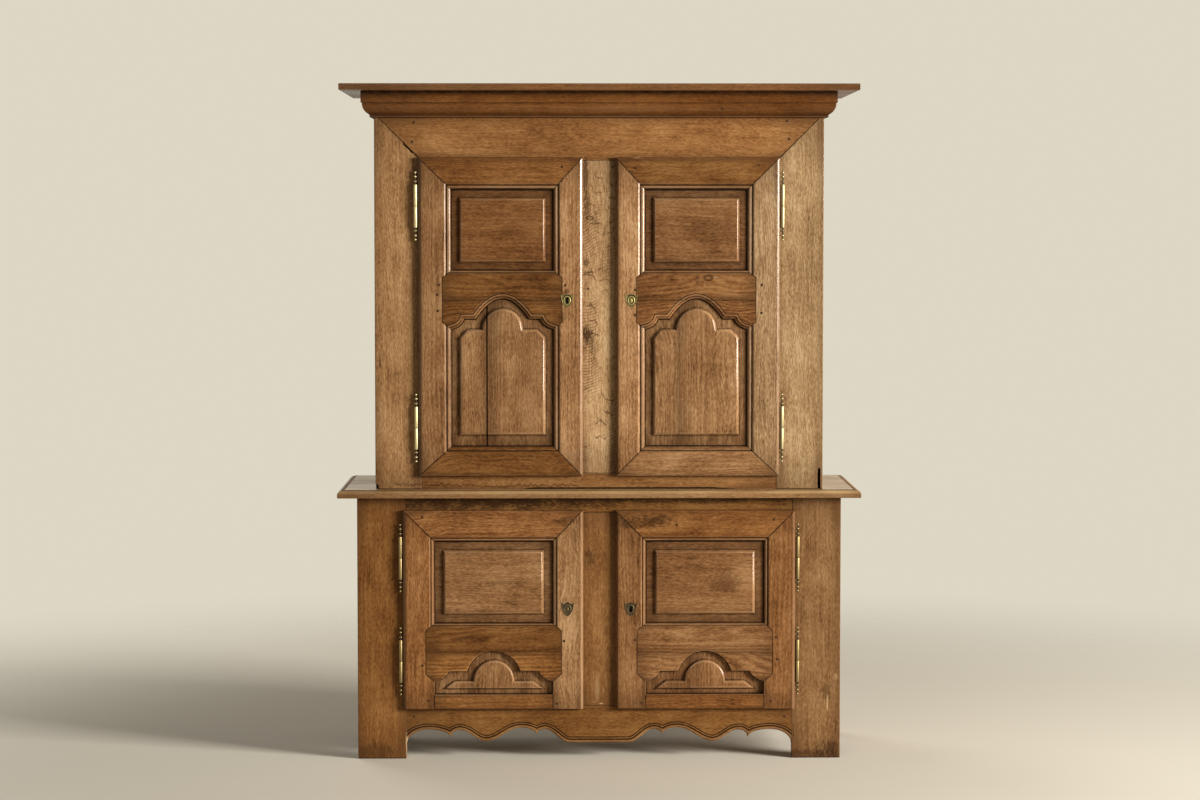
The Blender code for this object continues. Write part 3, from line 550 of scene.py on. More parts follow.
for body in BODIES:
    for hand, side in HANDS.items():
        node = f"{body}_stile_{hand}"
        low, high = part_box(node)
        inner, outer = sorted((abs(low.x), abs(high.x)))
        outline = [(inner, low.z), (outer, low.z), (outer, high.z)]
        kinds = ["foot", "edge", "edge"]
        if body == "upper":
            outline += [(inner + high.z - upper_rail_under, high.z), (inner, upper_rail_under)]
            kinds += [None, "edge"]
        else:
            outline.append((inner, high.z))
            kinds.append("edge")
        stile = worked(f"{node}_plank", outline, kinds, frame_edges, front_face, X * side, Z, Y)
        if node in LOST_SPLINTERS:
            lost = [(side * (outer - from_edge), low.z + up) for from_edge, up in LOST_SPLINTERS[node]]
            combine(stile, prism("splinter", lost, frame_front - CUT_PAST, frame_back + CUT_PAST))
        if node == "upper_stile_left":
            chip = [(-inner - along - away, upper_rail_under + along - away) for along, away in MITRE_CHIP]
            combine(stile, prism("chip", chip, frame_front - CUT_PAST, frame_front + CHIP_DEEP))
        lay(stile, Z, X, OAK_TONES[stile_tones[node]])
        fit(stile, frame_oak, "carcass", "oak", node)


# The rails and centre stiles of both front frames: oak, tenoned and pegged between the front stiles. The
# upper top rail is mitred at 45 degrees, and the upper centre stile is cut true to the oak's rays. Each
# centre stile has a mortise for a lock's bolt. The base's top rail has the ledge's shadow painted on it.
BOLT_THROW = 0.012
BOLT_PLAY = 0.0008
WARP_RISE = 0.0050
WARP_STARTS = (-0.24, -0.20)
WARP_ENDS = (0.34, 0.42)
base_inner = abs(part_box("base_stile_left")[1].x)
upper_inner = abs(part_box("upper_stile_left")[1].x)
base_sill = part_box("base_apron")[1].z
base_rail_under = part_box("base_top_rail")[0].z
upper_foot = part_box("upper_bottom_rail")[0].z
upper_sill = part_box("upper_bottom_rail")[1].z
upper_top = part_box("upper_top_rail")[1].z
rise = upper_top - upper_rail_under
mitred = [(-upper_inner + MITRE_OPEN, upper_rail_under), (upper_inner - MITRE_OPEN, upper_rail_under),
          (upper_inner + rise, upper_top), (-upper_inner - rise, upper_top)]
warped = [(-upper_inner, upper_foot), (WARP_STARTS[0], upper_foot), (WARP_STARTS[1], upper_foot + WARP_RISE),
          (WARP_ENDS[0], upper_foot + WARP_RISE), (WARP_ENDS[1], upper_foot), (upper_inner, upper_foot),
          (upper_inner, upper_sill), (-upper_inner, upper_sill)]
rails = {"base_top_rail": rectangle(-base_inner, base_inner, base_rail_under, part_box("base_top_rail")[1].z),
         "upper_top_rail": mitred, "upper_bottom_rail": warped}
rail_tones = {"base_top_rail": "tobacco", "upper_top_rail": "honey", "upper_bottom_rail": "russet",
              "base_centre_stile": "russet", "upper_centre_stile": "silvered"}
# Painted shadow of the buffet top's ledge on the base's top rail: dark ovals along its top, given to oak as
# stains.
RAIL_LEDGE_SHADOW = [(-0.34, 0.796, 0.50, 0.052, 0.95), (0.25, 0.796, 0.42, 0.024, 0.75)]
ledge_shadow_oak = oak("sooty_rail_oak", *FRAME_COLOURS, 0.50, RAIL_LEDGE_SHADOW)
for node, outline in rails.items():
    kinds = ["edge"] * (len(outline) - 4) + ["edge", None, "edge", None]
    rail = worked(f"{node}_plank", outline, kinds, frame_edges, front_face, X, Z, Y)
    lay(rail, X, Z, OAK_TONES[rail_tones[node]])
    fit(rail, ledge_shadow_oak if node == "base_top_rail" else frame_oak, "carcass", "oak", node)

centres = {"base_centre_stile": (base_sill, base_rail_under, 0.2),
           "upper_centre_stile": (upper_sill, upper_rail_under, 1.0)}
for node, (foot, head, ripple) in centres.items():
    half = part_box(node)[1].x
    post = worked(f"{node}_plank", rectangle(-half, half, foot, head), [None, "edge", None, "edge"],
                  frame_edges, front_face, X, Z, Y)
    bolt_low, bolt_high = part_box(node.replace("centre_stile", "lock_bolt"))
    tip = min(bolt_low.x, bolt_high.x, key=abs)
    side = math.copysign(1.0, tip)
    ends = sorted((tip - side * (BOLT_THROW + BOLT_PLAY), side * (half + CUT_PAST)))
    mortise = rectangle(*ends, bolt_low.z - BOLT_PLAY, bolt_high.z + BOLT_PLAY)
    combine(post, prism("mortise", mortise, bolt_low.y - BOLT_PLAY, bolt_high.y + BOLT_PLAY))
    lay(post, Z, X, OAK_TONES[rail_tones[node]], ripple)
    fit(post, frame_oak, "carcass", "oak", node)


# The apron: one oak plank sawn to waves and cusped lobes along its lower edge, alike on both sides of the
# middle, with a bead and a second line scratched along that edge by hand. It is tenoned into the feet.
APRON_STEPS = 9
APRON_FINE = 0.002
APRON_ARRIS = 0.0008
APRON_ROWS = [(0.0194, 0.0, 0.0, 0.0), (0.0186, 0.0013, 1.0, 0.0), (0.0166, 0.0015, 1.0, 0.0),
              (0.0156, 0.0002, 0.0, 0.3), (0.0130, 0.0, 0.0, 0.2), (0.0121, 0.0020, 1.0, 0.0),
              (0.0096, 0.0023, 1.0, 0.0), (0.0086, 0.0009, 0.3, 0.1), (0.0066, 0.0001, 0.0, 0.4),
              (0.0042, 0.0002, 0.0, 0.5), (0.0020, 0.0012, 0.0, 0.4), (0.0005, 0.0032, 0.0, 0.2),
              (0.0, 0.0056, 0.5, 0.0)]


def curve(start, end, shares):
    """Points from one place to another, by shares of the way along and up."""
    return [(start[0] + (end[0] - start[0]) * along, start[1] + (end[1] - start[1]) * up)
            for along, up in shares]


def quarter(start, end, steep_first):
    """A quarter of an ellipse: flat at the lobe's top and steep at the cusp."""
    angles = [math.pi / 2 * i / APRON_STEPS for i in range(1, APRON_STEPS + 1)]
    shares = [(math.sin(angle), 1 - math.cos(angle)) for angle in angles]
    return curve(start, end, [share[::-1] for share in shares] if steep_first else shares)


def wave(start, end):
    """An easy S curve, level at both of its ends."""
    steps = [i / APRON_STEPS for i in range(1, APRON_STEPS + 1)]
    return curve(start, end, [(share, (1 - math.cos(math.pi * share)) / 2) for share in steps])


apron_half = base_inner - JOINT_GAP
flat_end, inner_lobe = (0.0897, 0.0465), (0.1649, 0.088)
inner_cusp, middle_lobe = (0.1900, 0.071), (0.2383, 0.0925)
trough, outer_lobe, outer_cusp, end_lobe, apron_end = [(apron_half - away, z) for away, z in (
    (0.2395, 0.051), (0.1620, 0.0855), (0.1329, 0.062), (0.0658, 0.087), (0.0, 0.042))]
edge = [(0.0, flat_end[1]), (flat_end[0] / 2, flat_end[1]), flat_end]
edge += wave(flat_end, inner_lobe) + quarter(inner_lobe, inner_cusp, False)
edge += quarter(inner_cusp, middle_lobe, True) + wave(middle_lobe, trough) + wave(trough, outer_lobe)
edge += quarter(outer_lobe, outer_cusp, False) + quarter(outer_cusp, end_lobe, True)
edge += quarter(end_lobe, apron_end, False)
edge = [(-x, z) for x, z in reversed(edge[1:])] + edge
fine_edge = []
for (x0, z0), (x1, z1) in zip(edge, edge[1:]):
    parts = max(1, round(math.dist((x0, z0), (x1, z1)) / APRON_FINE))
    fine_edge += [(x0 + (x1 - x0) * i / parts, z0 + (z1 - z0) * i / parts) for i in range(parts)]
fine_edge.append(edge[-1])


def above_edge(x, distance):
    """The height at which a ball of this radius, rolled along the sawn edge, leaves its mark."""
    return max(z + math.sqrt(distance ** 2 - (x - at) ** 2) for at, z in fine_edge if abs(x - at) <= distance)


apron_rings = []
for x, z in edge:
    ring = [(x, frame_front + APRON_ARRIS, base_sill), (x, frame_front, base_sill - APRON_ARRIS)]
    for distance, depth, grime, wear in APRON_ROWS:
        ring.append((x, frame_front + depth, above_edge(x, distance) if distance else z))
    ring += [(x, frame_front + frame_thick, z), (x, frame_front + frame_thick, base_sill)]
    apron_rings.append(ring)
apron_marks = [(0.0, 0.5), (0.0, 0.0)] + [row[2:] for row in APRON_ROWS] + [(0.7, 0.0), (0.6, 0.0)]
apron = skin("base_apron_plank", apron_rings, lambda row, edge, point: apron_marks[point])
lay(apron, X, Z, OAK_TONES["tobacco"])
fit(apron, frame_oak, "carcass", "oak", "base_apron")


# The framed sides of both bodies, and the base's rear legs: oak stiles and rails with a broad chamfer
# round a panel of two upright boards, tenoned together and let in behind the front stiles.
SIDE_RAIL_WIDE = 0.110
SIDE_STILE_WIDE = 0.075
SIDE_CHAMFER = 0.012
SIDE_SUNK = 0.008
SIDE_FOOT_CLEAR = 0.095
REAR_LEG_WIDE = 0.070
SIDE_TONES = {"front_stile": 0.90, "rear_stile": 0.78, "low_rail": 0.72, "top_rail": 0.84}
BOARD_TONES = (0.86, 0.76)
BOARD_WARMTH = (1.0, 0.96, 0.92)
SPLIT_SHARE = {"left": 0.46, "right": 0.57}
side_oak = oak("waxed_side_oak", (0.090, 0.038, 0.013), (0.250, 0.120, 0.047), (0.410, 0.228, 0.100), 0.48)

for body in BODIES:
    for hand, side in HANDS.items():
        node = f"{body}_side_{hand}"
        low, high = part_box(node)
        thick = high.x - low.x
        under = low.z + SIDE_FOOT_CLEAR if body == "base" else low.z
        y1, y2 = low.y + SIDE_STILE_WIDE - frame_thick, high.y - SIDE_STILE_WIDE
        z1, z2 = under + SIDE_RAIL_WIDE, high.z - SIDE_RAIL_WIDE
        in1, in2, up1, up2 = y1 + SIDE_CHAMFER, y2 - SIDE_CHAMFER, z1 + SIDE_CHAMFER, z2 - SIDE_CHAMFER
        leg = high.y - REAR_LEG_WIDE
        profiles = {"edge": eased(thick), "foot": eased(thick, grime=0.8, wear=0.3),
                    "chamfer": [(SIDE_CHAMFER, 0.0, 0.0, 0.5), (SIDE_CHAMFER - 0.0008, 0.0002, 0.0, 0.6),
                                (0.0012, SIDE_SUNK - 0.0009, 0.2, 0.0), (0.0, SIDE_SUNK - 0.0004, 1.0, 0.0),
                                (0.0, SIDE_SUNK + 0.001, 1.0, 0.0), (0.0, thick, 0.5, 0.0)]}
        origin = X * (high.x if side > 0 else low.x)
        front_stile = ([(low.y, under), (y1, under), (y1, z1), (in1, up1), (in1, up2), (y1, z2), (y1, high.z),
                        (low.y, high.z)], ["foot", None, None, "chamfer", None, None, "edge", None])
        if body == "base":
            rear = [(y2, under), (leg, under), (leg, low.z), (high.y, low.z), (high.y, high.z)]
            rear_kinds = ["edge", "edge", "foot", "edge", "edge"]
        else:
            rear = [(y2, under), (high.y, under), (high.y, high.z)]
            rear_kinds = ["foot", "edge", "edge"]
        rear_stile = (rear + [(y2, high.z), (y2, z2), (in2, up2), (in2, up1), (y2, z1)],
                      rear_kinds + [None, None, "chamfer", None, None])
        low_rail = ([(y1, under), (y2, under), (y2, z1), (in2, up1), (in1, up1), (y1, z1)],
                    ["foot", None, None, "chamfer", None, None])
        top_rail = ([(y1, z2), (in1, up2), (in2, up2), (y2, z2), (y2, high.z), (y1, high.z)],
                    [None, "chamfer", None, None, "edge", None])
        parts = {"front_stile": front_stile, "rear_stile": rear_stile, "low_rail": low_rail,
                 "top_rail": top_rail}
        for part, (outline, kinds) in parts.items():
            member = worked(f"{node}_{part}", outline, kinds, profiles, origin, Y, Z, X * -side)
            along, across = (Z, Y) if part.endswith("stile") else (Y, Z)
            lay(member, along, across, [SIDE_TONES[part]] * 3, 0.0, 0.7)
            fit(member, side_oak, "carcass", "oak", node)
        tight = {"tight": [(JOINT_GAP, 0.0, 1.0, 0.0), (JOINT_GAP, thick - SIDE_SUNK, 1.0, 0.0)]}
        split = in1 + (in2 - in1) * SPLIT_SHARE[hand]
        for number, (start, end) in enumerate(((in1, split), (split, in2))):
            board = worked(f"{node}_board_{number}", rectangle(start, end, up1, up2), ["tight"] * 4, tight,
                           origin - X * side * SIDE_SUNK, Y, Z, X * -side)
            lay(board, Z, Y, [BOARD_TONES[number] * c for c in BOARD_WARMTH], 0.0, 1.0)
            fit(board, side_oak, "carcass", "oak_panel", node)


# The boards inside: the floors, the shelves and the roof, each of three oak planks laid side by side and
# let into the sides. They were planed but never waxed, so they are pale, dry and dusty.
PLANK_ENDS = (0.0, 0.36, 0.66, 1.0)
PLANK_GAP = 0.0004
inside_oak = oak("dry_inside_oak", (0.175, 0.098, 0.046), (0.345, 0.215, 0.112), (0.455, 0.315, 0.185), 0.68)


def lengths(start, end, ends):
    """The pairs of places that cut a length by shares."""
    places = [start + (end - start) * share for share in ends]
    return list(zip(places, places[1:]))


for node in ("base_floor", "base_shelf", "upper_floor", "upper_shelf", "upper_roof"):
    low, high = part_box(node)
    edges = {"edge": eased(high.z - low.z, 0.001, 0.2, 0.3)}
    for number, (near, far) in enumerate(lengths(low.y, high.y, PLANK_ENDS)):
        kinds = [None, "edge", None, "edge"] if number == 1 else ["edge"] * 4
        plank = worked(f"{node}_plank_{number}", rectangle(low.x, high.x, near + PLANK_GAP, far - PLANK_GAP),
                       kinds, edges, Z * high.z, X, Y, -Z)
        lay(plank, X, Y)
        fit(plank, inside_oak, "carcass", "oak_inside", node)


# The backs: upright oak boards of uneven width, left from the saw, with a small gap between them, held
# with iron nails to the floor, the shelf and the head of each body.
BACK_SHARES = (0.0, 0.13, 0.29, 0.42, 0.58, 0.71, 0.86, 1.0)
BACK_GAP = 0.0008
NAIL_RADIUS = 0.0038
NAIL_PROUD = 0.0010
NAIL_SUNK = 0.0011
NAIL_ASTRAY = 0.002
NAILS_UP = 0.012
NAILS_DOWN = 0.020
NAILS_IN = (0.028, 0.031)
back_oak = oak("sawn_back_oak", (0.120, 0.066, 0.032), (0.255, 0.155, 0.080), (0.360, 0.238, 0.135), 0.74)


def iron_surface(shade):
    place = shade.place()
    rust = place.noise(95, 95, 4, 0.6).step(0.47, 0.66)
    hammer = place.noise(190, 190)
    scale = place.noise(1400, 1400)
    steel = hammer.between((0.075, 0.068, 0.062), (0.150, 0.140, 0.130))
    colour = steel.mix((0.105, 0.044, 0.020), rust * 0.7)
    colour = colour.mix((0.30, 0.285, 0.265), shade.marked("wear") * 0.6)
    relief = hammer + scale * 0.3 + rust * 0.4
    return {"Base Color": colour, "Metallic": 1.0 - rust * 0.75, "Roughness": rust * 0.3 + scale * 0.2 + 0.36,
            "Normal": relief.bump(0.5, 0.0006)}


iron = finish("wrought_iron", iron_surface)
DOME = [(0.96, -0.5, 1.0, 0.0), (1.0, 0.0, 1.0, 0.0), (0.86, 0.45, 0.2, 0.3), (0.55, 0.82, 0.0, 0.8),
        (0.2, 1.0, 0.0, 1.0)]


def gathered(name, pieces):
    """Several pieces made into one."""
    shape = bmesh.new()
    for piece in pieces:
        shape.from_mesh(piece.data)
        bpy.data.objects.remove(piece)
    return meshed(name, shape)


def domes(name, places, out, radius, proud, sides=12):
    """Small round heads in one piece: on each place a low dome, shaped by DOME, that points along out."""
    across = out.orthogonal().normalized()
    up = out.cross(across)
    turns = [math.tau * i / sides for i in range(sides)]
    arms = [across * math.cos(turn) + up * math.sin(turn) for turn in turns]
    made = []
    for number, place in enumerate(places):
        made.append(lofted(f"{name}_{number}", DOME, lambda share, height: [
            Vector(place) + arm * radius * share + out * proud * height for arm in arms]))
    return gathered(name, made)


for body in BODIES:
    node = f"{body}_back"
    low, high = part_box(node)
    edges = {"edge": eased(high.y - low.y, 0.0016, 0.5, 0.3)}
    levels = (low.z + NAILS_UP, sum(v.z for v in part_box(f"{body}_shelf")) / 2, high.z - NAILS_DOWN)
    nails = []
    for number, (left, right) in enumerate(lengths(low.x, high.x, BACK_SHARES)):
        left, right = left + BACK_GAP, right - BACK_GAP
        board = worked(f"{node}_board_{number}", rectangle(left, right, low.z, high.z), ["edge"] * 4, edges,
                       Y * high.y, X, Z, -Y)
        lay(board, Z, X, [0.93 + paler * (number % 3) for paler in (0.05, 0.05, 0.04)])
        fit(board, back_oak, "carcass", "oak_inside", node)
        for level in levels:
            for x in (left + NAILS_IN[0], right - NAILS_IN[1]):
                nails.append((x, high.y - NAIL_SUNK, level + NAIL_ASTRAY * ((number * 7) % 3 - 1)))
    heads = domes(f"{node}_nails", nails, Y, NAIL_RADIUS, NAIL_PROUD)
    fit(heads, iron, "carcass", "iron", node)


# The buffet top: a thick oak board on the base, with an ovolo under a small quirk along its front and both
# ends. Years of dusting and a painted sheen leave it paler and greyer than the front.
TOP_OVOLO_IN = 0.016
TOP_OVOLO_DOWN = 0.013
TOP_QUIRK = 0.0013
OVOLO_STEPS = 8
# Painted sheen and wear on the top face: its rubbed parts go far towards the bleached colour, which paints
# the pale reflection of waxed oak seen at a low angle.
TOP_WEAR_AND_SHEEN = 0.74
top_oak = oak("worn_top_oak", (0.120, 0.052, 0.018), (0.330, 0.170, 0.070), (0.520, 0.315, 0.150), 0.52,
              bleached=(0.70, 0.475, 0.215), gloss=0.70)
low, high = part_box("buffet_top")
thick = high.z - low.z
ovolo = [(TOP_OVOLO_IN + 0.0045, 0.0, 0.0, 0.1), (TOP_OVOLO_IN + 0.0012, 0.0001, 0.1, 0.3),
         (TOP_OVOLO_IN + 0.0004, 0.0010, 0.6, 0.0), (TOP_OVOLO_IN - 0.0006, TOP_QUIRK, 0.6, 0.0)]
for i in range(1, OVOLO_STEPS + 1):
    angle = math.pi / 2 * i / OVOLO_STEPS
    ovolo.append((TOP_OVOLO_IN * (1 - math.sin(angle)) * 0.96,
                  TOP_QUIRK + (TOP_OVOLO_DOWN - TOP_QUIRK) * (1 - math.cos(angle)),
                  0.0, 0.2 + 0.3 * math.sin(2 * angle)))
ovolo += [(0.0, thick - 0.0014, 0.1, 0.2), (0.0004, thick - 0.0004, 0.2, 0.2), (0.0014, thick, 0.6, 0.0)]
squared = [(0.0, depth, grime, wear) for inset, depth, grime, wear in ovolo]
top_board = worked("buffet_top_board", rectangle(low.x, high.x, low.y, high.y),
                   ["ovolo", "ovolo", "squared", "ovolo"], {"ovolo": ovolo, "squared": squared},
                   Z * high.z, X, Y, -Z, TOP_WEAR_AND_SHEEN)
lay(top_board, X, Y)
fit(top_board, top_oak, "carcass", "oak", "buffet_top")


# The cornice: an oak moulding planed in one length and mitred round three sides, with a bead, an ovolo and
# a plain fascia, under a cap of three planks. It is the darkest wood, and sits by its own weight.
CORNICE_STAINS = [(-0.632, 1.956, 0.010, 0.0030, 0.9), (-0.159, 1.959, 0.0034, 0.0030, 0.9),
                  (0.366, 1.956, 0.0040, 0.0036, 0.95), (-0.470, 1.956, 0.0025, 0.0020, 0.7)]
dark_oak = oak("dark_cornice_oak", (0.070, 0.029, 0.011), (0.160, 0.071, 0.027), (0.255, 0.125, 0.052), 0.50,
               CORNICE_STAINS)
MOULDING_TINT = (0.85, 0.67, 0.35)
CAP_TINT = (1.60, 1.55, 1.40)
# Painted light on the cap's underside: it is made paler, glossier and less dirty, as light thrown up from
# below.
CAP_UNDER_PAINTED_LIGHT = 0.37
MM = 1000
CORNICE = [(-22, 0, 0.4, 0), (9.0, 0, 0.6, 0), (11.2, 0.5, 0.3, 0.2), (12.4, 2.0, 0, 0.5),
           (12.5, 3.8, 0, 0.6), (11.6, 5.3, 0.2, 0.3), (10.2, 6.1, 0.9, 0), (10.2, 7.0, 1.0, 0),
           (13.6, 7.6, 0.4, 0.2), (14.2, 9.2, 0.3, 0.1), (18.6, 11.6, 0, 0.2), (23.4, 15.6, 0, 0.3),
           (27.4, 20.6, 0, 0.4), (30.6, 26.4, 0, 0.4), (32.6, 32.2, 0, 0.4), (33.4, 37.6, 0.1, 0.2),
           (33.0, 41.2, 0.4, 0), (33.2, 42.4, 0.6, 0), (36.2, 43.0, 0.3, 0.2), (37.0, 44.0, 0.1, 0.3),
           (37.0, 60.0, 0, 0.1), (37.0, 77.0, 0.8, 0), (-22, 77.0, 0.5, 0)]
body_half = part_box("upper_stile_right")[1].x
back_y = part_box("upper_side_left")[1].y
cornice_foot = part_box("cornice_moulding")[0].z


def cornice_length(name, ends, along):
    """One length of moulding between two cuts. Each cut gives a point for how far out it is and how high."""
    rings = [[cut(out / MM, cornice_foot + up / MM) for out, up, grime, wear in CORNICE] for cut in ends]
    length = skin(name, rings, lambda row, edge, point: (0.9, 0.0) if edge is None else CORNICE[point][2:])
    lay(length, along, Z, MOULDING_TINT)
    fit(length, dark_oak, "carcass", "oak_dark", "cornice_moulding")


cornice_length("cornice_front", [
    lambda out, z: (-(body_half + out) + JOINT_GAP, frame_front - out, z),
    lambda out, z: (body_half + out - JOINT_GAP, frame_front - out, z)], X)
for hand, side in HANDS.items():
    cornice_length(f"cornice_{hand}", [
        lambda out, z: (side * (body_half + out), frame_front - out + JOINT_GAP, z),
        lambda out, z: (side * (body_half + out), back_y, z)], Y)

low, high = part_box("cornice_cap")
thick = high.z - low.z
cap_edge = [(0.0026, 0.0, 0.0, 0.4), (0.0010, 0.0006, 0.0, 0.9), (0.0002, 0.0020, 0.0, 0.6),
            (0.0, 0.0045, 0.0, 0.2), (0.0, thick - 0.003, 0.0, 0.2), (0.0008, thick - 0.0008, 0.1, 0.6),
            (0.0030, thick, 0.2, 0.6)]
cap_joint = [(JOINT_GAP, depth, 1.0, 0.0) for inset, depth, grime, wear in cap_edge]
cap_edges = {"edge": cap_edge, "joint": cap_joint}
for number, (near, far) in enumerate(lengths(low.y, high.y, PLANK_ENDS)):
    kinds = ["edge" if number == 0 else "joint", "edge", "edge" if number == 2 else "joint", "edge"]
    plank = worked(f"cornice_cap_plank_{number}", rectangle(low.x, high.x, near, far), kinds, cap_edges,
                   Z * high.z, X, Y, -Z, 0.0, CAP_UNDER_PAINTED_LIGHT)
    lay(plank, X, Y, CAP_TINT)
    fit(plank, dark_oak, "carcass", "oak_dark", "cornice_cap")


# The door frames: oak stiles and rails, grooved for their panels, moulded round the openings and mitred and
# pegged at the corners. Each middle rail is shouldered into the stiles and glued up of two boards.
GROOVE_DEEP = 0.007
ARCH_HALF = 0.080
ARCH_RISE = 0.061
ARCH_STEPS = 24
CORNER_LOBE = 0.031
LOBE_WIDE = {"upper": 0.039, "base": 0.043}
SHOULDER_RUN = 0.026
SHOULDER_RISE = 0.022
GLUE_LINE_UNDER_CROWN = 0.004
GLUE_LINE_OPEN = {("upper", "left"): 0.0012, ("upper", "right"): 0.0018,
                  ("base", "left"): 0.0008, ("base", "right"): 0.0008}
LOWER_BOARD_PALER = {("upper", "left"): 1.05, ("upper", "right"): 1.10,
                     ("base", "left"): 1.35, ("base", "right"): 1.06}
DOOR_STAINS = [(-0.100, 1.411, 0.014, 0.010, 0.6), (-0.104, 1.335, 0.020, 0.020, 0.35),
               (-0.110, 0.470, 0.016, 0.030, 0.35), (0.108, 0.430, 0.018, 0.034, 0.35),
               (0.135, 0.722, 0.085, 0.024, 0.80), (-0.102, 0.722, 0.040, 0.016, 0.60),
               (0.294, 1.449, 0.008, 0.018, 0.45)]
DOOR_SCUFFS = [(0.116, 1.8135, 0.020, 0.0030, 0.95), (0.349, 1.4555, 0.007, 0.0035, 0.30),
               (0.3166, 1.4310, 0.005, 0.006, 0.25)]
DOOR_KNOTS = [(0.326, 1.453, 0.012, 0.008, 0.75)]
DOOR_COLOURS = (0.100, 0.040, 0.013), (0.300, 0.146, 0.058), (0.510, 0.295, 0.138)
door_oak = oak("waxed_door_oak", *DOOR_COLOURS, 0.48, DOOR_STAINS, DOOR_SCUFFS, DOOR_KNOTS)
groove = [(0.0, 10.6, 0.7, 0), (0.0, 12.0, 1.0, 0), (7.3, 12.0, 1.0, 0), (7.3, 20.0, 1.0, 0),
          (0.0, 20.0, 0.6, 0), (0.0, 27.0, 0.2, 0.4), (0.8, 28.0, 0.1, 0.2)]
rebate = [(0.0, 14.8, 0.3, 0.1), (0.4, 15.7, 0.6, 0), (10.0, 15.7, 0.8, 0), (10.0, 27.2, 0.2, 0.3),
          (10.8, 28.0, 0.1, 0.2)]
ovolo_mould = [(20.6, 0, 0, 0.2), (20.0, 0.25, 0, 0.5), (17.8, 1.6, 0, 0.35), (15.8, 3.0, 0.2, 0),
               (14.8, 3.8, 1.0, 0), (12.8, 3.9, 1.0, 0), (11.6, 3.2, 0.2, 0.2), (9.4, 3.1, 0, 0.8),
               (6.4, 4.0, 0, 0.7), (3.8, 5.6, 0, 0.4), (1.8, 7.6, 0.1, 0.1), (0.6, 9.5, 0.4, 0)]
arch_mould = [(17.0, 0, 0, 0.3), (16.4, 0.2, 0.2, 0.5), (15.6, 1.7, 1.0, 0), (14.6, 1.8, 1.0, 0),
              (13.4, 0.9, 0.2, 0.3), (11.8, 0.7, 0, 0.8), (9.6, 1.3, 0, 0.5), (7.6, 2.7, 0.2, 0.1),
              (6.6, 3.6, 0.8, 0), (5.6, 3.7, 0.6, 0), (3.8, 4.2, 0, 0.7), (1.6, 6.2, 0, 0.4),
              (0.5, 9.2, 0.4, 0)]
plain_edge = [(1.6, 0, 0, 0.3), (0.6, 0.5, 0, 0.8), (0.0, 1.8, 0, 0.4), (0.0, 8.0, 0.3, 0)]
capped = [(3.2, 0, 0, 0.1), (1.8, 0.30, 0.1, 0.3), (0.6, 1.40, 0.4, 0.1), (0.0, 3.20, 0.6, 0)]
SHADOW_AND_DUST_DEEPER_THAN = 5


def moulded(share, soot=0.0, rubbed=1.0):
    """The moulded edge of an opening at a share of its full width, and the groove for the panel. Its
    deeper part is darkened further by a share: painted shadow on a head moulding, dust on a sill.
    """
    return [(inset * share, depth, min(1.0, grime + (soot if depth > SHADOW_AND_DUST_DEEPER_THAN else 0.0)), wear * rubbed)
            for inset, depth, grime, wear in ovolo_mould] + groove


def lapped(rubbed):
    """A door's upright edge: a bevel over the rebate that laps the frame. Its rubbed share pales and glosses
    the bevel as hand wear, and on the lock edges also as a painted highlight where they face the window lamp
    and painted shade where they face away.
    """
    return [(8.6, 0, 0, 0.1), (7.9, 0.14, 0, 0.3), (7.1, 0.60, 0, rubbed), (4.4, 2.15, 0, rubbed),
            (1.6, 3.85, 0, rubbed), (0.7, 4.70, 0, 0.35), (0.2, 6.00, 0, 0.2), (0.0, 7.60, 0.1, 0.1)] + rebate


# upper_head and base_head carry painted shadow under the top rail's moulding; upper_sill is less rubbed and
# darker as dust.
edges = {"lock_lap": lapped(0.62), "hinge_lap": lapped(0.40), "shaded_lock_lap": lapped(0.12),
         "capped": capped + rebate, "plain": plain_edge + groove, "upper_wide": moulded(1.0),
         "upper_narrow": moulded(0.5), "upper_head": moulded(1.0, 0.8), "upper_sill": moulded(1.0, 0.3, 0.2),
         "upper_arch": arch_mould + groove, "base_wide": moulded(0.72), "base_narrow": moulded(0.45),
         "base_head": moulded(0.72, 0.8)}
door_edges = {kind: [(inset / MM, depth / MM, grime, wear) for inset, depth, grime, wear in profile]
              for kind, profile in edges.items()}


def arc(centre, radius, start, end, steps):
    """Points on part of a circle, both ends included, with angles in degrees."""
    angles = [math.radians(start + (end - start) * i / steps) for i in range(steps + 1)]
    return [(centre[0] + radius * math.cos(a), centre[1] + radius * math.sin(a)) for a in angles]


def arch_top(body, left, right, corner_z):
    """The head of an arched opening, from its right side to its left: a lobe, a shoulder and the arch. The
    upper doors' arch is a parabola, and the base doors' part of a circle."""
    middle = (left + right) / 2
    shoulder = corner_z + CORNER_LOBE
    lobe = [(u * LOBE_WIDE[body], v * CORNER_LOBE) for u, v in arc((0.363, 0.363), 1.41, 255.1, 194.9, 9)]
    head = [(right + u, shoulder + v) for u, v in lobe]
    if body == "upper":
        shares = [1 - 2 * i / ARCH_STEPS for i in range(ARCH_STEPS + 1)]
        head += [(middle + ARCH_HALF * share, shoulder + ARCH_RISE * (1 - share ** 2)) for share in shares]
    else:
        radius = (ARCH_HALF ** 2 + ARCH_RISE ** 2) / (2 * ARCH_RISE)
        spring = math.degrees(math.atan2(ARCH_HALF, radius - ARCH_RISE))
        head += arc((middle, shoulder + ARCH_RISE - radius), radius, 90 - spring, 90 + spring, ARCH_STEPS)
    return head + [(left - u, shoulder + v) for u, v in reversed(lobe)]


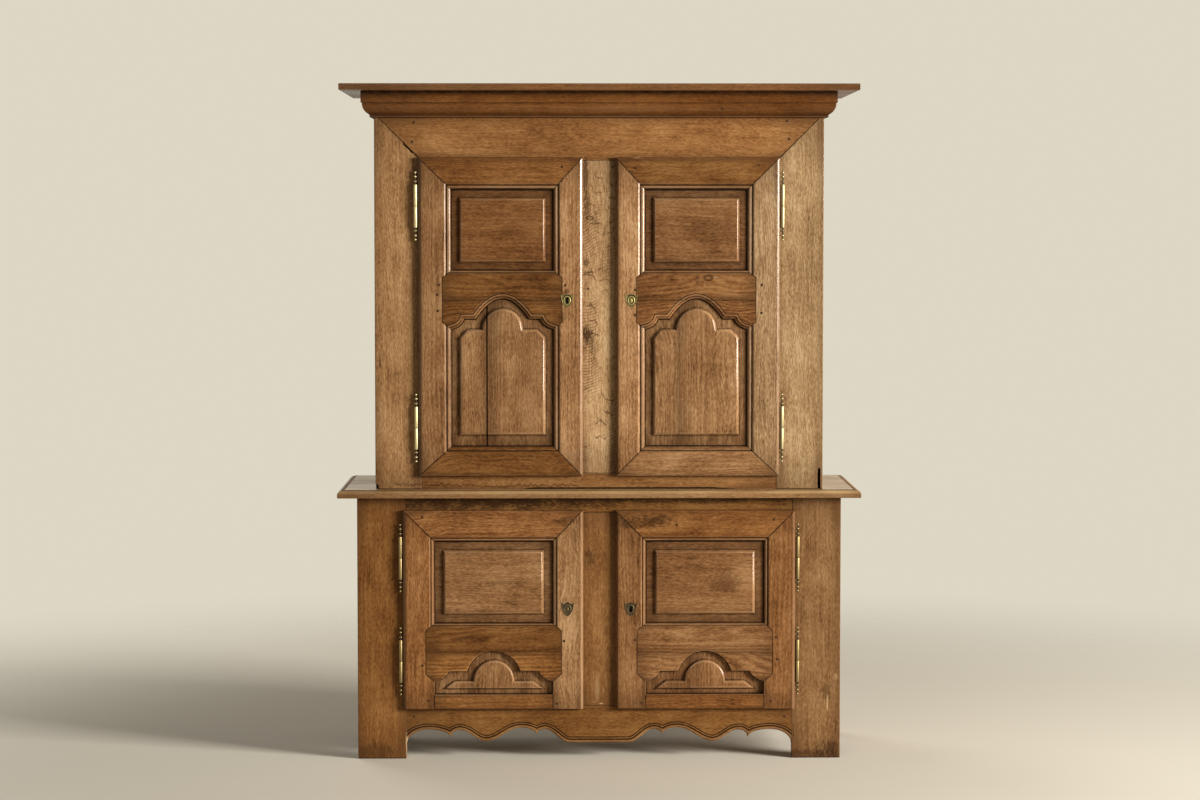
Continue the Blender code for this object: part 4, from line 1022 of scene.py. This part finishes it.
def sawn(piece, name, place, way):
    """A copy of a piece with all that lies beyond a cut taken off, and the cut face closed and painted dark,
    as dirt and the shade inside a crack.
    """
    shape = bmesh.new()
    shape.from_mesh(piece.data)
    parts = shape.verts[:] + shape.edges[:] + shape.faces[:]
    bmesh.ops.bisect_plane(shape, geom=parts, plane_co=place, plane_no=way, clear_outer=True)
    open_edges = [e for e in shape.edges if e.is_boundary]
    closed = bmesh.ops.holes_fill(shape, edges=open_edges, sides=0)["faces"]
    dirt_and_shade = shape.loops.layers.float["grime"]
    for face in closed:
        for loop in face.loops:
            loop[dirt_and_shade] = 1.0
    bmesh.ops.recalc_face_normals(shape, faces=shape.faces)
    return meshed(name, shape)


class Door:
    """Where one door's openings are, across from its hinge edge and up from the floor."""

    def __init__(self, body, hand):
        self.name = f"{body}_door_{hand}"
        self.side = HANDS[hand]
        low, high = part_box(f"{self.name}_frame")
        self.front, self.back = low.y, high.y
        self.bottom, self.top = low.z, high.z
        self.width = high.x - low.x
        self.hinge_x = low.x if hand == "left" else high.x
        self.origin = Vector((self.hinge_x, self.front, 0))
        self.across = X * -self.side
        upper_low, upper_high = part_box(f"{self.name}_upper_panel")
        lower_low, lower_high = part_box(f"{self.name}_lower_panel")
        spans = sorted(abs(x - self.hinge_x) for x in (upper_low.x, upper_high.x))
        self.left, self.right = spans[0] + GROOVE_DEEP, spans[1] - GROOVE_DEEP
        self.panel_foot, self.panel_top = upper_low.z + GROOVE_DEEP, upper_high.z - GROOVE_DEEP
        self.arch_foot, self.crown = lower_low.z + GROOVE_DEEP, lower_high.z - GROOVE_DEEP
        self.arch_corner = self.crown - ARCH_RISE - CORNER_LOBE


doors = {(body, hand): Door(body, hand) for body in BODIES for hand in HANDS}
DOOR_OAK = ("hinge_stile", "lock_stile", "top_rail", "bottom_rail", "middle_rail",
            "square_panel", "arched_panel")
DOOR_TONES = {("upper", "left"): ("fawn", "pale", "amber", "tobacco", "tobacco", "russet", "fawn"),
              ("upper", "right"): ("bleached", "pale", "tobacco", "fawn", "russet", "nut", "straw"),
              ("base", "left"): ("honey", "straw", "honey", "amber", "tobacco", "fawn", "fawn"),
              ("base", "right"): ("russet", "nut", "amber", "amber", "nut", "nut", "nut")}
for (body, hand), door in doors.items():
    left, right, wide = door.left, door.right, door.width
    foot, head = door.bottom, door.top
    sill, spring = door.arch_foot, door.arch_corner
    low, high = door.panel_foot, door.panel_top
    wide_mould = f"{body}_wide"
    arch, arch_side = ("upper_arch", wide_mould) if body == "upper" else ("plain", "plain")
    # Painted light: the left doors' lock edges face the window lamp and get the paler lap, the right doors'
    # face away and get the dull, shaded one.
    lock_lap = "lock_lap" if hand == "left" else "shaded_lock_lap"
    out_left, out_right = left - SHOULDER_RUN, right + SHOULDER_RUN
    under, over = spring + SHOULDER_RISE, low - SHOULDER_RISE
    hinge_side = [(left, sill), (left, spring), (out_left, under), (out_left, over), (left, low),
                  (left, high), (0.0, head)]
    hinge_kinds = [arch_side, None, None, None, wide_mould, None, "hinge_lap"]
    lock_side = [(wide, head), (right, high), (right, low), (out_right, over), (out_right, under),
                 (right, spring), (right, sill)]
    lock_kinds = [lock_lap, None, wide_mould, None, None, None, arch_side, None]
    if body == "upper":
        hinge_stile = ([(0.0, foot)] + hinge_side, [None] + hinge_kinds)
        lock_stile = ([(wide, foot)] + lock_side, lock_kinds)
        bottom_rail = ([(0.0, foot), (wide, foot), (right - MITRE_OPEN, sill), (left + MITRE_OPEN, sill)],
                       ["capped", None, "upper_sill", None])
    else:
        hinge_stile = ([(0.0, foot), (left, foot)] + hinge_side, ["capped", None] + hinge_kinds)
        lock_stile = ([(right, foot), (wide, foot)] + lock_side, ["capped"] + lock_kinds)
        bottom_rail = (rectangle(left, right, foot, sill), ["capped", None, "plain", None])
    top_rail = ([(left + MITRE_OPEN, high), (right - MITRE_OPEN, high), (wide, head), (0.0, head)],
                [f"{body}_head", None, "capped", None])
    arched = arch_top(body, left, right, spring)[::-1]
    middle_rail = (arched + [(out_right, under), (out_right, over), (right, low), (left, low),
                             (out_left, over), (out_left, under)],
                   [arch] * (len(arched) - 1) + [None, None, None, f"{body}_narrow", None, None, None])
    members = {"hinge_stile": hinge_stile, "lock_stile": lock_stile, "top_rail": top_rail,
               "bottom_rail": bottom_rail, "middle_rail": middle_rail}
    door.tones = {part: OAK_TONES[tone] for part, tone in zip(DOOR_OAK, DOOR_TONES[body, hand])}
    door.members = {}
    for member, (outline, kinds) in members.items():
        used = {kind: door_edges[kind] for kind in dict.fromkeys(kinds) if kind}
        door.members[member] = worked(f"{door.name}_{member}", outline, kinds, used, door.origin,
                                      door.across, Z, Y)
    rail = door.members.pop("middle_rail")
    glue_line = Z * (door.crown - GLUE_LINE_UNDER_CROWN)
    for board, way in (("upper", -Z), ("lower", Z)):
        member = f"middle_rail_{board}"
        door.members[member] = sawn(rail, f"{door.name}_{member}",
                                    glue_line - way * GLUE_LINE_OPEN[body, hand] / 2, way)
    bpy.data.objects.remove(rail)


# The keyholes: a round eye over a slot, cut right through the lock stile of the two doors that have a lock.
# With them cut, the oak members of all four doors are finished and hung.
KEY_IN = 0.047
KEY_UP = {"upper": 0.528, "base": 0.304}
LOCKED = {"upper": "left", "base": "right"}
KEYHOLE_UP = 0.005
KEYHOLE_RADIUS = 0.0045
KEYHOLE_SLOT = 0.0072
KEYHOLE_LONG = 0.0140


def keyhole(door, body, y0, y1):
    """The space of a keyhole between two depths."""
    x = door.hinge_x - door.side * (door.width - KEY_IN)
    z = door.bottom + KEY_UP[body] + KEYHOLE_UP
    half_slot = KEYHOLE_SLOT / 2
    start = math.degrees(math.asin(half_slot / KEYHOLE_RADIUS)) - 90
    outline = arc((x, z), KEYHOLE_RADIUS, start, 180 - start, 16)
    outline += [(x - half_slot, z - KEYHOLE_LONG), (x + half_slot, z - KEYHOLE_LONG)]
    return prism("keyhole", outline, y0 - CUT_PAST, y1 + CUT_PAST)


for body, hand in LOCKED.items():
    door = doors[body, hand]
    combine(door.members["lock_stile"], keyhole(door, body, door.front, door.back))

for (body, hand), door in doors.items():
    for member, piece in door.members.items():
        tint = Vector(door.tones[member.removesuffix("_upper").removesuffix("_lower")])
        if member == "middle_rail_lower":
            tint = tint * LOWER_BOARD_PALER[body, hand]
        along, across = (Z, X) if member.endswith("stile") else (X, Z)
        lay(piece, along, across, tint, 0.0, 1.2 if "middle" in member else 0.7)
        fit(piece, door_oak, door.name, "oak", f"{door.name}_frame")


# The door panels: oak boards that float in the grooves of the frame, with a raised and bevelled field. The
# upper ones lie across, and the arched ones stand upright and are joined, or have split, between boards.
FIELD_MARGIN = {"upper": 0.0225, "base": 0.0258}
FIELD_FOOT = 0.0116
FIELD_SUNK = 0.0026
FIELD_ARCH = 0.063
FIELD_DROP = 0.029
SQUARE_SKIRT = 0.014
BEVEL = {"upper": 0.0082, "base": 0.0062}
ARCHED_SKIRT = {"upper": 0.010, "base": 0.006}
FIELD_UP = {"upper": 0.032, "base": 0.016}
FIELD_RUN = {"upper": 0.025, "base": 0.033}
PANEL_STAINS = [(0.3815, 0.537, 0.067, 0.034, 0.34), (-0.360, 1.742, 0.060, 0.010, 0.35),
                (-0.300, 0.530, 0.080, 0.012, 0.25), (0.330, 1.600, 0.060, 0.018, 0.25)]
panel_oak = oak("waxed_panel_oak", *DOOR_COLOURS, 0.46, PANEL_STAINS)
BOARD_CUTS = {("upper", "left"): [(0.205, 0.0042)], ("upper", "right"): [(0.301, 0.0005)],
              ("base", "left"): [(0.205, 0.0004), (0.372, 0.0004)], ("base", "right"): [(0.316, 0.0004)]}


def inset_outline(outline, inset):
    """An outline with every edge moved inwards."""
    points = [Vector(point) for point in outline]
    return [corner(points[i - 1], here, points[(i + 1) % len(points)], inset, inset)
            for i, here in enumerate(points)]


def panel(door, name, opening, field, skirt, bevel):
    """A flat board with tongues in the groove, and on its face the skirt, the bevel and the raised field."""

    def through(part, outline, levels):
        return lofted(part, levels, lambda inset, depth: [
            door.origin + door.across * u + Z * v + Y * depth for u, v in inset_outline(outline, inset)])

    # Painted shade: the dark marks round the opening's edge and on the skirt at the field's foot stand for
    # the shade that the frame and the raised field cast there, with some dirt.
    board = through(name, opening, [
        (-0.0066, 0.0197, 0.3, 0), (-0.0066, 0.0123, 1.0, 0), (0.0004, 0.0122, 1.0, 0),
        (0.0018, 0.0121, 0.9, 0), (0.0040, 0.0120, 0.35, 0)])
    raised = through(f"{name}_field", field, [
        (-skirt, 0.0160, 0.3, 0), (-skirt, 0.0119, 0.3, 0), (-0.0016, FIELD_FOOT, 0.45, 0),
        (0.0, FIELD_FOOT - 0.0002, 0.9, 0), (0.0012, FIELD_FOOT - 0.0013, 0.3, 0.0),
        (bevel - 0.0026, FIELD_SUNK + 0.0018, 0.0, 0.6), (bevel, FIELD_SUNK + 0.0002, 0.0, 0.75),
        (bevel + 0.0010, FIELD_SUNK, 0.0, 0.3), (bevel + 0.0030, FIELD_SUNK, 0.0, 0.0)])
    combine(board, raised, "UNION")
    return board


for (body, hand), door in doors.items():
    left, right, sill, spring = door.left, door.right, door.arch_foot, door.arch_corner
    square = rectangle(left, right, door.panel_foot, door.panel_top)
    upper = panel(door, f"{door.name}_square_panel", square, inset_outline(square, FIELD_MARGIN[body]),
                  SQUARE_SKIRT, BEVEL["upper"])
    lay(upper, X, Z, door.tones["square_panel"])
    fit(upper, panel_oak, door.name, "oak_panel", f"{door.name}_upper_panel")

    shoulder = spring + CORNER_LOBE - FIELD_DROP
    run = FIELD_RUN[body]
    upright = [shoulder - run] if body == "upper" else []
    field_left, field_right = left + FIELD_MARGIN[body], right - FIELD_MARGIN[body]
    field = [(field_left, sill + FIELD_UP[body]), (field_right, sill + FIELD_UP[body])]
    field += [(field_right, z) for z in upright] + [(field_right - run, shoulder)]
    field += arc(((left + right) / 2, shoulder), FIELD_ARCH, 0, 180, ARCH_STEPS)
    field += [(field_left + run, shoulder)] + [(field_left, z) for z in upright]
    arched = [(left, sill), (right, sill)] + arch_top(body, left, right, spring)
    whole = panel(door, f"{door.name}_arched_panel", arched, field, ARCHED_SKIRT[body], BEVEL[body])
    boards = []
    for across, gap in BOARD_CUTS[body, hand]:
        name = f"{door.name}_arched_panel_board_{len(boards)}"
        place = door.origin + door.across * across
        boards.append(sawn(whole, name, place - door.across * gap / 2, door.across))
        rest = sawn(whole, f"{name}_rest", place + door.across * gap / 2, -door.across)
        bpy.data.objects.remove(whole)
        whole = rest
    whole.name = f"{door.name}_arched_panel_board_{len(boards)}"
    for number, board in enumerate(boards + [whole]):
        shade = 1.0 - 0.05 * (number % 2)
        lay(board, Z, X, [c * shade for c in door.tones["arched_panel"]], 0.0, 0.8)
        fit(board, panel_oak, door.name, "oak_panel", f"{door.name}_lower_panel")


# The pegs: riven oak pins driven through each tenon and trimmed flush, their end grain gone nearly black.
# Those of a door go with it, and those of the front frames and the sides stay with the carcass.
PEG_RADIUS = 0.0042
PEG_PROUD = 0.0005
PEG_FLUSH = 0.0002
PEG_SIDES = 10
PEG_ASTRAY = 0.003
SIDE_PEGS_UP = (0.032, 0.081)
SIDE_PEGS_DOWN = (0.079, 0.030)


def peg_surface(shade):
    fleck = shade.place().noise(900, 900, 3)
    colour = fleck.between((0.016, 0.008, 0.004), (0.070, 0.034, 0.014))
    colour = colour.mix((0.11, 0.056, 0.024), shade.marked("wear") * 0.3)
    return {"Base Color": colour, "Roughness": fleck * 0.3 + 0.45, "Normal": fleck.bump(0.5, 0.0004),
            "Specular IOR Level": 0.06}


peg_finish = finish("peg_end_grain", peg_surface)
pegs = {
    "carcass": [(-0.554, 1.917), (-0.559, 1.859), (0.562, 1.922), (0.568, 1.868), (-0.556, 0.770),
                (0.558, 0.771), (-0.560, 0.128), (0.561, 0.126)],
    "upper_door_left": [(-0.111, 1.785), (-0.480, 1.432), (-0.485, 1.403), (-0.483, 1.355),
                        (-0.102, 1.431)],
    "upper_door_right": [(0.109, 1.781), (0.477, 1.790), (0.108, 1.417), (0.108, 1.342), (0.487, 1.432),
                         (0.486, 1.348)],
    "base_door_left": [(-0.532, 0.734), (-0.533, 0.285), (-0.106, 0.359), (-0.515, 0.179),
                       (-0.128, 0.169)],
    "base_door_right": [(0.233, 0.710), (0.526, 0.726), (0.108, 0.362), (0.533, 0.370), (0.537, 0.303),
                        (0.129, 0.170), (0.518, 0.176)]}
for body, places in pegs.items():
    face = frame_front if body == "carcass" else doors["upper", "left"].front
    ends = domes(f"{body}_pegs", [(x, face - PEG_FLUSH, z) for x, z in places], -Y, PEG_RADIUS, PEG_PROUD,
                 PEG_SIDES)
    fit(ends, peg_finish, body, "oak")
for body in BODIES:
    for hand, side in HANDS.items():
        low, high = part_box(f"{body}_side_{hand}")
        under = low.z + SIDE_FOOT_CLEAR if body == "base" else low.z
        face = high.x if side > 0 else low.x
        heights = [under + up for up in SIDE_PEGS_UP] + [high.z - down for down in SIDE_PEGS_DOWN]
        places = []
        for y in (low.y + (SIDE_STILE_WIDE - frame_thick) / 2, high.y - SIDE_STILE_WIDE / 2):
            for z in heights:
                places.append((face + side * PEG_FLUSH, y + PEG_ASTRAY * ((len(places) * 5) % 3 - 1), z))
        ends = domes(f"{body}_side_{hand}_pegs", places, X * side, PEG_RADIUS, PEG_PROUD, PEG_SIDES)
        fit(ends, peg_finish, "carcass", "oak")


# The hinges: turned brass fiches. The lower half has the pin and a leaf sunk in the stile, the upper half
# is bored for the pin and has its leaf in the door, and each ends in a collar and two beads.
BARREL_RADIUS = 0.0056
BARREL_LONG = 0.129
BARREL_END = [(BARREL_RADIUS - 0.0012, 0.0, 0.8, 0.0), (BARREL_RADIUS - 0.0003, 0.0004, 0.0, 0.8),
              (BARREL_RADIUS, 0.0014, 0.0, 0.6)]
BEADS = ((0.0090, 0.0056, 0.0032), (0.0235, 0.0043, 0.0040), (0.0358, 0.0036, 0.0040))
PIN_RADIUS = 0.0030
PIN_LONG = 0.040
BORE_RADIUS = 0.0034
HINGE_SIDES = 20
HINGE_CLEAR = 0.0003
HINGE_OUT = 0.008
HINGE_FROM_END = 0.145
LEAF_HALF_THICK = 0.0012
LEAF_STARTS = 0.0050
LEAF_REACH = 0.032
LEAF_NEAR = 0.010
LEAF_FAR = 0.056


def brass(name, bright, dull, tarnish):
    """Old brass: rubbed bright on what stands proud, brown and dull in the hollows."""

    def surface(shade):
        place = shade.place()
        patch = place.noise(70, 70, 4, 0.6)
        speck = place.noise(900, 900)
        stain = patch * 0.8 + shade.marked("grime") * 0.7 - shade.marked("wear") * 0.45 + tarnish
        stain = stain.step(0.45, 1.05)
        relief = speck + patch * 2.0
        return {"Base Color": stain.between(bright, dull), "Metallic": 1.0 - stain * 0.45,
                "Roughness": stain * 0.2 + speck * 0.12 + 0.40, "Normal": relief.bump(0.25, 0.0003)}

    return finish(name, surface)


bright_hinge = brass("hinge_brass", (0.49, 0.415, 0.225), (0.060, 0.038, 0.016), 0.17)
worn_hinge = brass("worn_hinge_brass", (0.36, 0.30, 0.165), (0.060, 0.038, 0.016), 0.17)
dull_hinge = brass("dull_hinge_brass", (0.26, 0.19, 0.085), (0.045, 0.028, 0.012), 0.22)
hinge_brass = {("upper", "left"): bright_hinge, ("upper", "right"): worn_hinge,
               ("base", "left"): dull_hinge, ("base", "right"): dull_hinge}


def finial(way, start):
    """The collar and the two beads past a barrel's end, as rings of (radius, height, grime, wear)."""
    rings = [(0.0030, start, 1.0, 0.0)]
    for distance, radius, half_high in BEADS:
        for turn in (-64, -48, -28, 0, 28, 48, 64):
            angle = math.radians(turn)
            rings.append((radius * math.cos(angle), start + way * (distance + half_high * math.sin(angle)),
                          1.0 if abs(turn) > 60 else 0.0, math.cos(angle)))
    return rings + [(0.0006, start + way * (BEADS[-1][0] + BEADS[-1][2] * 0.99), 0.0, 0.6)]


def barrel(start, middle, end):
    """One half of a barrel, with both of its ends eased, as rings like the finial's."""
    rings = [(radius, start + up, grime, wear) for radius, up, grime, wear in BARREL_END]
    rings.append((BARREL_RADIUS, middle, 0.0, 0.9))
    return rings + [(radius, end - up, grime, wear) for radius, up, grime, wear in reversed(BARREL_END)]


def turned(name, x, y, rings):
    """A piece turned on a lathe about an upright line, from rings of (radius, height, grime, wear)."""
    turns = [math.tau * i / HINGE_SIDES for i in range(HINGE_SIDES)]
    return lofted(name, rings, lambda radius, z: [
        (x + radius * math.cos(turn), y + radius * math.sin(turn), z) for turn in turns])


def leaf(name, low, high):
    """A hinge's flat leaf, between two corners."""
    outline = rectangle(low[0], high[0], low[1], high[1])
    rings = [[(u, v, z) for u, v in outline] for z in (low[2], high[2])]
    return skin(name, rings, lambda row, edge, point: (0.6, 0.0))


for (body, hand), door in doors.items():
    x = door.hinge_x + door.side * HINGE_OUT
    y = frame_front - HINGE_OUT
    half = BARREL_LONG / 2
    for place, z in (("top", door.top - HINGE_FROM_END), ("bottom", door.bottom + HINGE_FROM_END)):
        node = f"{body}_{hand}_{place}_hinge"
        lower = finial(-1, z - half)[::-1] + barrel(z - half, z - half / 2, z - HINGE_CLEAR)
        lower += [(PIN_RADIUS, z - HINGE_CLEAR, 0.5, 0.0), (PIN_RADIUS, z + PIN_LONG, 0.5, 0.0)]
        pin_body = turned(f"{node}_pin_body", x, y, lower)
        stile_leaf = leaf(f"{node}_stile_leaf", (x - LEAF_HALF_THICK, y + LEAF_STARTS, z - LEAF_FAR),
                          (x + LEAF_HALF_THICK, y + LEAF_REACH, z - LEAF_NEAR))
        pin_half = gathered(f"{node}_pin_piece", [pin_body, stile_leaf])
        fit(pin_half, hinge_brass[body, hand], "carcass", "brass", f"{node}_pin_half")

        upper = [(BORE_RADIUS, z + up + HINGE_CLEAR, 1.0, 0.0) for up in (PIN_LONG, 0.0)]
        upper += barrel(z + HINGE_CLEAR, z + half / 2, z + half) + finial(1, z + half)
        door_body = turned(f"{node}_door_body", x, y, upper)
        ends = sorted((x - door.side * LEAF_STARTS, x - door.side * LEAF_REACH))
        door_leaf = leaf(f"{node}_door_leaf", (ends[0], y - LEAF_HALF_THICK, z + LEAF_NEAR),
                         (ends[1], y + LEAF_HALF_THICK, z + LEAF_FAR))
        door_half = gathered(f"{node}_door_piece", [door_body, door_leaf])
        fit(door_half, hinge_brass[body, hand], door.name, "brass", f"{node}_door_half")


# The key plates: thin cast brass shields with two horns, a crown and a raised oval rim, pinned to the lock
# stiles. Two have an open keyhole, and two have only a bright boss in its place, for the look of a pair.
PLATE_WIDE = 0.038
PLATE_HIGH = 0.0435
SHIELD_HALF = {
    "upper": ((0.0, -0.50), (0.18, -0.45), (0.42, -0.36), (0.66, -0.25), (0.82, -0.10), (0.88, 0.06),
              (0.90, 0.20), (0.98, 0.32), (1.0, 0.43), (0.84, 0.39), (0.68, 0.33), (0.52, 0.36),
              (0.38, 0.42), (0.24, 0.40), (0.12, 0.45), (0.0, 0.50)),
    "base": ((0.0, -0.50), (0.20, -0.45), (0.44, -0.34), (0.66, -0.19), (0.82, -0.02), (0.90, 0.16),
             (0.95, 0.32), (1.0, 0.46), (0.80, 0.40), (0.62, 0.34), (0.46, 0.35), (0.32, 0.41),
             (0.18, 0.44), (0.0, 0.50))}
PLATE_LEVELS = [(0.0, 0.0, 1.0, 0.0), (0.0, 0.0008, 0.6, 0.2), (0.0004, 0.0012, 0.0, 0.7),
                (0.0009, 0.0012, 0.1, 0.5), (0.0014, 0.0008, 0.7, 0.0), (0.0018, 0.0007, 0.5, 0.0)]
RIM_HALF_WIDE = 0.0108
RIM_HALF_HIGH = 0.0142
RIM_LEVELS = [(1.0, 0.0003, 0.8, 0.0), (1.0, 0.0008, 0.8, 0.0), (0.94, 0.0014, 0.0, 0.7),
              (0.86, 0.0016, 0.0, 0.9), (0.78, 0.0013, 0.4, 0.2), (0.70, 0.0010, 0.7, 0.0)]
PIN_PLACES = ((-0.0128, 0.0118), (0.0128, 0.0118), (0.0, -0.0180))
PLATE_PIN = {"radius": 0.0013, "proud": 0.0006}
PLATE_PIN_OUT = 0.0010
BOSS = {"radius": 0.0034, "proud": 0.0010, "sides": 20}
BOSS_OUT = 0.0008
BOSS_STRETCH = 2.4
oval = arc((0.0, 0.0), 1.0, 0, 350, 35)
plate_brass = {"upper": brass("plate_brass", (0.40, 0.32, 0.115), (0.075, 0.055, 0.018), 0.30),
               "base": brass("dull_plate_brass", (0.18, 0.130, 0.052), (0.028, 0.018, 0.008), 0.38)}
for (body, hand), door in doors.items():
    node = f"{body}_{hand}_escutcheon"
    low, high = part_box(node)
    x, z = (low.x + high.x) / 2, (low.z + high.z) / 2
    right = [(u * PLATE_WIDE / 2, v * PLATE_HIGH) for u, v in SHIELD_HALF[body]]
    outline = right + [(-u, v) for u, v in reversed(right[1:-1])]
    plate = lofted(f"{node}_plate", PLATE_LEVELS, lambda inset, out: [
        (x + u, high.y - out, z + v) for u, v in inset_outline(outline, inset)])
    rim = lofted(f"{node}_rim", RIM_LEVELS, lambda share, out: [
        (x + u * share * RIM_HALF_WIDE, high.y - out, z + v * share * RIM_HALF_HIGH) for u, v in oval])
    places = [(x + u, high.y - PLATE_PIN_OUT, z + v) for u, v in PIN_PLACES]
    pins = domes(f"{node}_pins", places, -Y, **PLATE_PIN)
    parts = [plate, rim, pins]
    if LOCKED[body] == hand:
        for part in (plate, rim):
            combine(part, keyhole(door, body, low.y, high.y))
    else:
        boss = domes(f"{node}_boss", [(x, high.y - BOSS_OUT, z)], -Y, **BOSS)
        for vertex in boss.data.vertices:
            vertex.co.z = z + (vertex.co.z - z) * BOSS_STRETCH
        parts.append(boss)
    fit(gathered(f"{node}_piece", parts), plate_brass[body], door.name, "brass", node)


# The locks: two iron rim locks, each a folded and riveted box that is open to the wood and fixed to the back
# of a lock stile, with a sliding bolt that is thrown into a mortise in the centre stile.
CASE_WALL = 0.0022
BOLT_WAY_HALF = 0.004
BOLT_WAY_PLAY = 0.0003
RIVET_IN = 0.008
RIVET_RADIUS = 0.0032
RIVET_PROUD = 0.0012


def iron_block(name, low, high, ease):
    """A bar or box of iron with its arrises filed round."""
    return worked(name, rectangle(low.x, high.x, low.z, high.z), ["edge"] * 4,
                  {"edge": eased(high.y - low.y, ease, 0.0, 1.0)}, Y * high.y, X, Z, -Y)


for body, hand in LOCKED.items():
    door = doors[body, hand]
    low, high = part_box(f"{body}_lock_case")
    bolt_low, bolt_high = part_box(f"{body}_lock_bolt")
    case = iron_block(f"{body}_lock_box", low, high, 0.0010)
    space = rectangle(low.x + CASE_WALL, high.x - CASE_WALL, low.z + CASE_WALL, high.z - CASE_WALL)
    combine(case, prism("case_space", space, low.y - CUT_PAST, high.y - CASE_WALL))
    mouth = low.x if door.side > 0 else high.x
    way = rectangle(mouth - BOLT_WAY_HALF, mouth + BOLT_WAY_HALF, bolt_low.z - BOLT_WAY_PLAY,
                    bolt_high.z + BOLT_WAY_PLAY)
    combine(case, prism("bolt_way", way, bolt_low.y - BOLT_WAY_PLAY, bolt_high.y + BOLT_WAY_PLAY))
    places = [(x, high.y, z) for x in (low.x + RIVET_IN, high.x - RIVET_IN)
              for z in (low.z + RIVET_IN, high.z - RIVET_IN)]
    rivets = domes(f"{body}_lock_rivets", places, Y, RIVET_RADIUS, RIVET_PROUD)
    box = gathered(f"{body}_lock_case_piece", [case, rivets])
    fit(box, iron, door.name, "iron", f"{body}_lock_case")
    bolt = iron_block(f"{body}_lock_bolt_bar", bolt_low, bolt_high, 0.0008)
    fit(bolt, iron, f"{body}_bolt", "iron", f"{body}_lock_bolt")


# The model's box against the solids' box.
low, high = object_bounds()
{"cad": [list(cad_low), list(cad_high)], "visual": [list(low), list(high)]}
